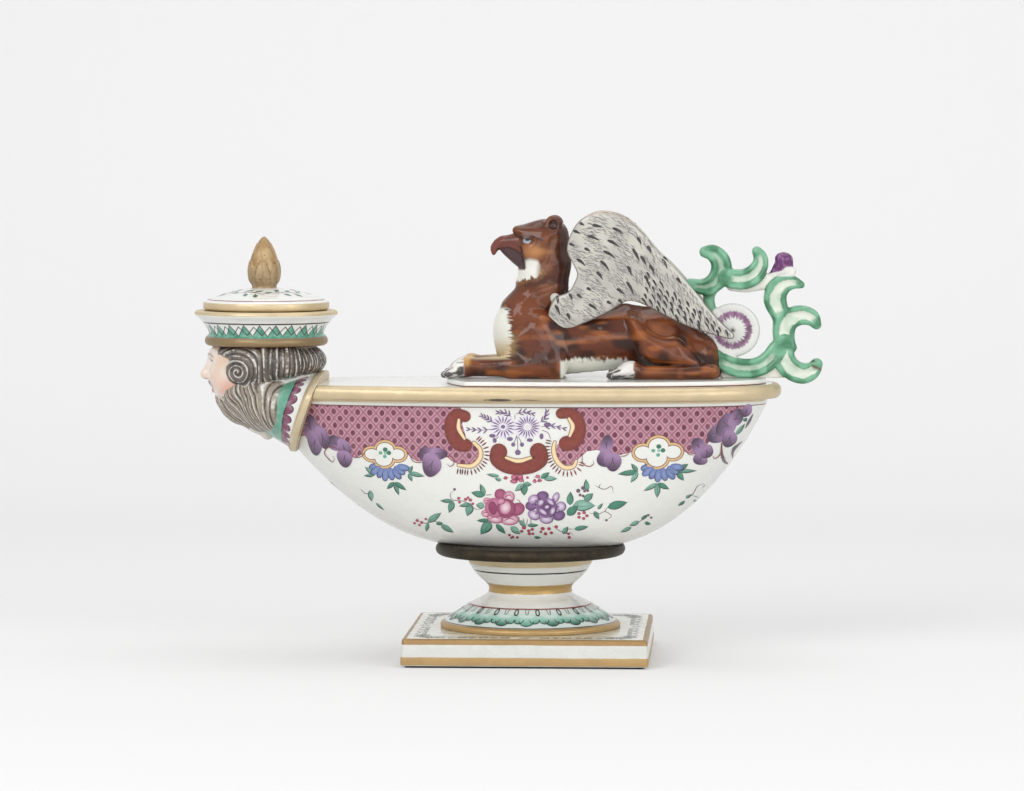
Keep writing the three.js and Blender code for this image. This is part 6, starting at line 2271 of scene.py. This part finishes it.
def build_tail():
    clay = Clay((60, 0, 107.5), (119, 7, 166), 0.35)
    x, y, z = clay.axes
    flat_x, flat_z = np.meshgrid(x.astype(float), z.astype(float), indexing="ij")
    edge, depth, _, _, _ = tail_relief(flat_x, flat_z)
    for _ in range(3):
        padded = np.pad(depth, 1, mode="edge")
        depth = (padded[:-2, 1:-1] + padded[2:, 1:-1] + padded[1:-1, :-2] + padded[1:-1, 2:] + depth) / 5
    from_face = y[None, :, None] - depth[:, None, :]
    clay.distance = (-smooth_min(-edge[:, None, :], -from_face, 2.2)).astype(np.float32)
    rx, rz = ROSETTE

    def disc(px, py, pz):
        out = np.hypot(px - rx, pz - rz)
        wave = ROSETTE_RADIUS - 0.1 + 0.1 * np.cos(2 * np.arctan2(pz - rz, px - rx) + 1)
        dish = 2.3 - 0.35 * glow((out - 6.2, 2.2)) + 0.5 * glow((out, 1.3))
        return -smooth_min(-(out - wave), -(py - dish), 1.4)

    box = ([rx - 12, -3, rz - 12], [rx + 12, 3, rz + 12])
    clay.add((disc, *box, 0.8))
    # bud on its white stalk
    clay.add(
        limb((95.8, 0, 152.6), (98.6, 0, 155.6), 0.9, 1.7, 0.8),
        limb((98.4, 0, 155.2), (100.8, 0, 158.4), 1.7, 3.2, 1.2),
        ball((99.3, 0, 159.2), (1.9, 2.2, 1.7), 0, 1), ball((102.2, 0, 158.8), (2.3, 2.4, 1.9), 0, 1),
        ball((102.6, 0, 157), (2.1, 2.1, 1.8), 0, 1), limb((100, 0, 152.8), (103.2, 0, 155.2), 1.9, 1.3, 1))
    clay.distance = np.maximum(clay.distance,
                               np.where(x[:, None, None] < 101.6, PLATE_TOP - z[None, None, :], -9))
    clay.distance = np.maximum(clay.distance, 109.1 - z[None, None, :])
    points, faces = clay.mesh()
    points = relaxed(points, faces)
    material = painted("scroll_glaze", 0.09, mottle=0.06, bump=0.3)
    tail = make_object("tail_scrolls", points, faces, "griffin_cover", ["tail_scroll"],
                       material)
    paint(tail, tail_colours(points, hollowness(points, faces, 8)))


def tail_colours(points, hollow):
    x, y, z = points.T
    side = np.abs(y)
    _, _, zone, across, way = tail_relief(x, z)
    wash = value_noise(points, 3.2, 11)
    fine = value_noise(points, 0.9, 12)
    green = blend(srgb(118, 176, 142), srgb(66, 128, 92), ramp(wash, 0.25, 0.75))
    # painted shade in the hollows and painted highlight on the ridges
    green = blend(green, srgb(46, 102, 74), ramp(hollow, 0.1, 0.8) * 0.7)
    green = blend(green, srgb(140, 190, 160), ramp(-hollow, 0.3, 0.9) * 0.3)
    pale = blend(srgb(222, 228, 214), srgb(200, 214, 196), ramp(wash, 0.4, 0.8))
    colour = green.copy()
    ragged = across + 0.1 * (fine - 0.5)
    on_face = ramp(side, 1.6, 2.4)
    strength = np.array([0, 0, 1, 0.35, 0.75, 0.95, 1.0, 1.0, 0.55])[zone.astype(int)]
    width = np.array([0, 0, 0, 0.14, 0.26, 0.36, 0.42, 0.38, 0.2])[zone.astype(int)] * (0.75 + 0.5 * wash)
    ends = ramp(way, 0.06, 0.16) * fall(way, 0.86, 0.96)
    channel = fall(ragged, width, width + 0.14) * ends * on_face * (zone >= 3)
    colour = blend(colour, pale, channel * strength)
    colour = blend(colour, srgb(228, 228, 220), (zone == 2) * 1.0)
    colour = blend(colour, blend(green, srgb(150, 200, 168), 0.3), (zone == 1) * 1.0)
    # rosette
    rx, rz = ROSETTE
    out = np.hypot(x - rx, z - rz)
    turn = np.arctan2(z - rz, x - rx)
    disc = fall(out, ROSETTE_RADIUS + 0.1, ROSETTE_RADIUS + 0.5) * fall(side, 2.9, 3.1)
    colour = blend(colour, srgb(222, 222, 218), disc)
    fringe = 0.5 * np.sin(turn * 34 + 5 * fine) + 0.35 * np.sin(turn * 21)
    ring = ramp(out + 0.9 * fringe, 4.6, 5.5) * fall(out + 0.35 * fringe, 7.2, 8.0) * disc
    purple = blend(srgb(150, 92, 140), srgb(96, 46, 84), ramp(value_noise(points, 1.6, 13), 0.3, 0.75))
    colour = blend(colour, purple, ring * 0.92)
    colour = blend(colour, INK, glow((out, 0.9)) * disc)
    # bud
    bud = (ramp(z - (152.9 + 0.22 * (x - 95.5)) - 0.4 * (fine - 0.5), -0.1, 0.5) * ramp(x, 94.6, 95.2)
           * fall(x, 106, 107))
    white_side = ramp(x - (z - 153) * 0.95 - 98.3, 0.5, 1.2) * fall(z, 155.4, 156.2)
    streaks = ramp(value_noise(points * (2.2, 1, 0.8), 1.2, 14), 0.5, 0.9)
    streaked = blend(srgb(104, 52, 104), srgb(156, 108, 156), streaks)
    above = ramp(z, 151.8, 152.4) * ramp(x, 94.6, 95.2) * fall(x, 106, 107)
    colour = blend(colour, srgb(226, 226, 220), above)
    colour = blend(colour, streaked, bud * (1 - white_side))
    # brown stripe and dark dot at the end of the lower scroll
    stripe = glow(((x - 113.2) * 0.45 + (z - 116.2) * 0.89, 0.55)) * ramp(x, 111.8, 112.4)
    colour = blend(colour, srgb(104, 70, 48), stripe * (zone == 7) * 0.9)
    dot = glow((x - 112.6, 0.9), (z - 118.3, 0.55))
    colour = blend(colour, srgb(34, 34, 30), dot * (zone == 7))
    return colour


# Mask

MASK_TOP = 124.02
CURL = (-115.2, 114.4)
BEARD_TIP = (-104.5, 82.0)

FACE_FORMS = [
    ball((-106.5, 0, 113.5), (21.8, 19.4, 17), 0, 3),
    ball((-117, 0, 119.6), (11.5, 15, 9), 0, 4),
    ball((-119.8, 0, 109), (7.4, 9, 8), 0, 4),
    # brow ridges, nose and nostrils
    limb((-127.2, 2.6, 119.9), (-122.6, 11.0, 119.5), 1.4, 1.2, 3),
    limb((-127.3, 0, 119), (-130.3, 0, 112.6), 1.3, 1.9, 2.4),
    ball((-130.4, 0, 112.0), (2.1, 2.1, 1.8), 0, 1.2),
    ball((-128.5, 2.2, 111.5), (1.8, 1.35, 1.4), 0, 0.8),
    # cheekbones and cheeks
    ball((-120.4, 9.0, 113.2), (6.2, 6.0, 5.0), 0, 3),
    ball((-119.4, 8.6, 109.0), (6.4, 6.8, 5.4), 0, 3),
    # lips
    limb((-127.4, 0, 107.5), (-125.3, 4.0, 107.1), 1.0, 0.6, 0.6),
    limb((-127.0, 0, 105.7), (-125.2, 3.3, 106.1), 1.15, 0.7, 0.6),
]
SOCKETS = [
    ball((-128.6, 6.2, 117.2), (2.9, 3.6, 2.0), 0, 1.4),
    ball((-129.2, 1.2, 110.2), (0.6, 0.55, 0.5), 0, 0.3),
    limb((-128.6, 0, 106.7), (-126.2, 4.2, 106.7), 0.35, 0.25, 0.3),
]
EYES = [
    ball((-124.9, 6.2, 117.1), (2.3, 2.9, 1.9), 0, 0.3),
    limb((-126.7, 3.5, 117.1), (-127.2, 6.2, 118.4), 0.5, 0.55, 0.4),
    limb((-127.2, 6.2, 118.4), (-125.2, 9.2, 117.2), 0.55, 0.5, 0.4),
    limb((-126.7, 3.5, 117.1), (-126.8, 6.2, 115.9), 0.4, 0.42, 0.4),
    limb((-126.8, 6.2, 115.9), (-125.2, 9.2, 117.1), 0.42, 0.4, 0.4),
]
HAIR_FORMS = [
    ball((-99.6, 0, 117.8), (17.6, 22.2, 8.4), 0, 2),
    limb((-111, 19.0, 116.5), (-96.5, 18.6, 118), 5.6, 6.0, 4),
    limb((-111.5, 19.6, 112.6), (-104, 20.4, 114.6), 4.2, 3.6, 3),
    # curl at the temple and the lock over it
    ball((-115.0, 17.0, 114.5), (5.4, 5.2, 5.6), 0, 0.8),
    limb((-122.4, 12.4, 122), (-114.5, 17.8, 121), 1.8, 3.4, 1.6),
    limb((-114, 18.4, 121), (-104, 20.5, 119.5), 3.6, 4.4, 3),
]
BEARD_FORMS = [
    # chin beard down to its point
    limb((-122.6, 0, 102.4), (-117, 0, 98.4), 3.8, 5.6, 2.5),
    limb((-116, 0, 102), (-109.4, 0, 96.2), 8.8, 7.0, 3),
    limb((-109.4, 0, 96), (-105.6, 0, 88.6), 6.4, 2.7, 3),
    ball((-124.6, 0, 103.4), (2.2, 2.7, 1.5), 0, 0.8),
    # sides, lying on the collar
    ball((-104, 9.2, 102.4), (12, 13.8, 12.4), 0, 3),
    limb((-117, 11.5, 103), (-108, 8.5, 94), 4.6, 3.8, 3),
    limb((-117.4, 13.6, 105.6), (-108.6, 19.6, 108.8), 3.2, 3.4, 3),
]
MOUSTACHE_FORMS = [
    limb((-128.3, 1.0, 109.2), (-125.6, 5.6, 107.6), 1.15, 1.55, 0.6),
    limb((-125.6, 5.6, 107.6), (-119.4, 11.4, 102.8), 1.6, 1.5, 0.8),
    limb((-119.4, 11.4, 102.8), (-113.2, 13.6, 98.2), 1.5, 0.9, 0.9),
]


def strand_waves(phase, x, z):
    """Uneven ridges and grooves from -1 to 1 along a phase across the strands."""
    drift = 1.1 * np.sin(0.31 * z + 0.2 * x) + 0.7 * np.sin(0.52 * x - 0.23 * z + 1.0)
    return (0.55 * np.sin(phase + drift) + 0.3 * np.sin(1.83 * phase + 1.7 * drift)
            + 0.25 * np.sin(0.47 * phase - drift + 2.0))


def hair_strands(x, y, z):
    """Strands coil round the curl at the temple and hang down towards the nape."""
    cx, cz = CURL
    out = np.hypot(x - cx, z - cz)
    coil = np.arctan2(z - cz, x - cx)
    round_back = np.arctan2(np.abs(y), x + 99)
    back = ramp(x, -109, -101)
    across = out * (1 - back) + (-99 - cx + 22 * (math.pi / 2 - round_back)) * back
    return strand_waves(TAU * across / 1.9 - coil * (1 - back), x, z)


def beard_strands(x, y, z):
    """Strands run together towards the point of the beard."""
    tx, tz = BEARD_TIP
    aim = np.arctan2(x - tx, z - tz)
    return strand_waves(TAU * (aim * 17 / 1.8 + np.abs(y) / 2.6), x, z)


def moustache_strands(x, y, z):
    """Strands sweep back and down from under the nose."""
    return strand_waves(TAU * (0.574 * x + 0.819 * z + 0.25 * np.abs(y)) / 1.15, 0.5 * x, 0.5 * z)


def wick_well(x, y, z):
    return np.maximum(np.hypot(x - NOZZLE_X, y) - well_radius(z), WELL_FLOOR - z)


def build_mask():
    low, high, voxel = (-135, 0, 84), (-78, 27, 126.5), 0.32
    skin, hair, beard, moustache = (Clay(low, high, voxel) for _ in range(4))
    skin.add(*FACE_FORMS).cut(*SOCKETS).add(*EYES)
    hair.add(*HAIR_FORMS).carve(lambda x, y, z: -0.26 * hair_strands(x, y, z), low, high)
    beard.add(*BEARD_FORMS).carve(lambda x, y, z: -0.24 * beard_strands(x, y, z), low, high)
    moustache.add(*MOUSTACHE_FORMS).carve(lambda x, y, z: -0.14 * moustache_strands(x, y, z), low, high)
    whole = Clay(low, high, voxel)
    whole.distance = smooth_min(smooth_min(skin.distance, beard.distance, 0.5), hair.distance, 0.4)
    whole.distance = smooth_min(whole.distance, moustache.distance, 0.3)
    x, y, z = np.meshgrid(*whole.axes, indexing="ij", sparse=True)
    whole.distance = np.maximum(whole.distance, z - MASK_TOP)
    whole.distance = np.maximum(whole.distance, -wick_well(x, y, z))
    points, faces = whole.mesh()
    points = relaxed(points, faces, 1)
    material = painted("mask_glaze", 0.12, mottle=0.04, bump=0.15)
    mask = make_object("bearded_mask", points, faces, "stand", ["mask_head"], material)
    px, py, pz = points.T
    in_well = fall(np.hypot(px - NOZZLE_X, py) - well_radius(pz), 0.2, 0.6)
    ground = [clay.at(points) for clay in (skin, hair, beard, moustache)]
    paint(mask, mask_colours(points, hollowness(points, faces, 6), *ground, in_well))


def mask_colours(points, hollow, skin, hair, beard, moustache, in_well):
    x, y, z = points.T
    side = np.abs(y)
    cloud = value_noise(points, 5, 21)
    fine = value_noise(points, 0.8, 22)
    colour = blend(srgb(238, 226, 214), srgb(234, 208, 190), ramp(cloud, 0.35, 0.75))

    def spot(sx, sy, sz, rx, ry, rz):
        return glow((x - sx, rx), (side - sy, ry), (z - sz, rz))

    colour = blend(colour, srgb(222, 158, 136), np.clip(1.2 * spot(-118, 13, 107, 6, 6, 3.6), 0, 1) * 0.85)
    colour = blend(colour, srgb(226, 190, 160), spot(-120.5, 13, 117.5, 3.4, 4, 3.4) * 0.8)
    colour = blend(colour, srgb(224, 176, 156), spot(-130.6, 0, 111.5, 2, 2, 1.6) * 0.5)
    # warm painted shade in the hollows of the face
    colour = blend(colour, srgb(196, 130, 108), ramp(hollow, 0.25, 0.9) * 0.5)
    colour = blend(colour, WHITE, ramp(x, -102, -100))
    # lips
    lips = ((spot(-127.4, 0, 107.5, 2.4, 4.2, 0.95) + spot(-127, 0, 105.6, 2.4, 3.4, 0.95))
            * fall(side, 4.2, 4.8))
    colour = blend(colour, srgb(198, 96, 88), np.clip(lips * 1.2, 0, 1) * 0.85)
    mouth = glow((z - 106.65, 0.28)) * fall(side, 4.0, 4.6) * fall(x, -125.4, -124.6)
    colour = blend(colour, srgb(110, 44, 44), mouth)
    # eyes: white, grey-brown iris, dark pupil, upper lid line
    on_eye = (fall(x, -124.2, -123.6)
              * fall(np.sqrt(((side - 6.3) / 2.9) ** 2 + ((z - 117.05) / 1.5) ** 2), 0.8, 1.0))
    colour = blend(colour, srgb(232, 230, 224), on_eye)
    out = np.hypot(side - 6.2, z - 117.2)
    colour = blend(colour, srgb(96, 80, 66), on_eye * fall(out, 1.0, 1.25))
    colour = blend(colour, srgb(26, 24, 24), on_eye * fall(out, 0.45, 0.65))
    lid_z = 118.35 - 0.16 * (side - 6.0) ** 2
    lid = (glow((z - lid_z, 0.3)) * ramp(side, 3.1, 3.6) * fall(side, 9.0, 9.8)
           * fall(x, -123.6, -122.8))
    colour = blend(colour, srgb(62, 46, 40), lid * 0.9)
    # brows drawn in short strokes
    brow_z = 120.6 - 0.05 * (side - 5.5) ** 2
    strokes = 0.6 + 0.4 * np.sin(5.2 * side + 2.4 * z)
    brow = (glow((z - brow_z, 0.55)) * ramp(side, 1.8, 2.8) * fall(side, 9.2, 11.4)
            * fall(x, -121.5, -120.5))
    colour = blend(colour, srgb(70, 60, 54), brow * strokes)
    nostril = spot(-129.4, 1.2, 110.3, 1.0, 0.7, 0.6)
    colour = blend(colour, srgb(120, 60, 54), nostril * 0.8)
    # hair and beard: grey brown, with dark strokes in the grooves and pale strokes on the ridges that are
    # partly painted shade and highlight, and painted shade in the deep hollows
    for own, others, strands, warmth in (
            (hair, np.minimum(skin, beard), hair_strands(x, y, z), 0.0),
            (beard, np.minimum(skin, hair), beard_strands(x, y, z), 1.0),
            (moustache, np.minimum(skin, beard), moustache_strands(x, y, z), 0.6)):
        where = ramp(others - own + 0.5 * (fine - 0.5), -0.12, 0.2)
        base = blend(srgb(86, 78, 72), srgb(114, 104, 93), ramp(cloud, 0.3, 0.7))
        base = blend(base, srgb(188, 176, 158), 0.55 * warmth)
        # dark strokes in the grooves, partly painted shade
        base = blend(base, srgb(54, 46, 44), ramp(-strands + 0.5 * (fine - 0.5), 0.05, 0.6) * 0.9)
        # pale strokes on the ridges, partly painted highlight
        base = blend(base, srgb(228, 226, 218), ramp(strands + 0.7 * (fine - 0.5), 0.4, 0.8) * 0.8)
        base = blend(base, srgb(66, 58, 54), warmth * fall(np.hypot(x + 106, z - 86), 2, 6) * 0.7)
        # painted shade in the deep hollows
        base = blend(base, srgb(54, 46, 42), ramp(hollow, 0.3, 0.9) * 0.6)
        colour = blend(colour, base, where)
    under_lid = ramp(z, 122.6, 123.2) * fall(np.hypot(x - NOZZLE_X, y), 19.4, 20.2)
    return blend(colour, srgb(222, 216, 204), np.maximum(in_well, under_lid))


add_camera()
add_stage()
add_light()
ENAMEL = enamel_material()
build_stand()
paint_bowl(build_bowl())
build_deck()
build_plate()
build_neck()
build_cup()
build_lid()
build_bud()
build_griffin()
build_wings()
build_tail()
build_mask()
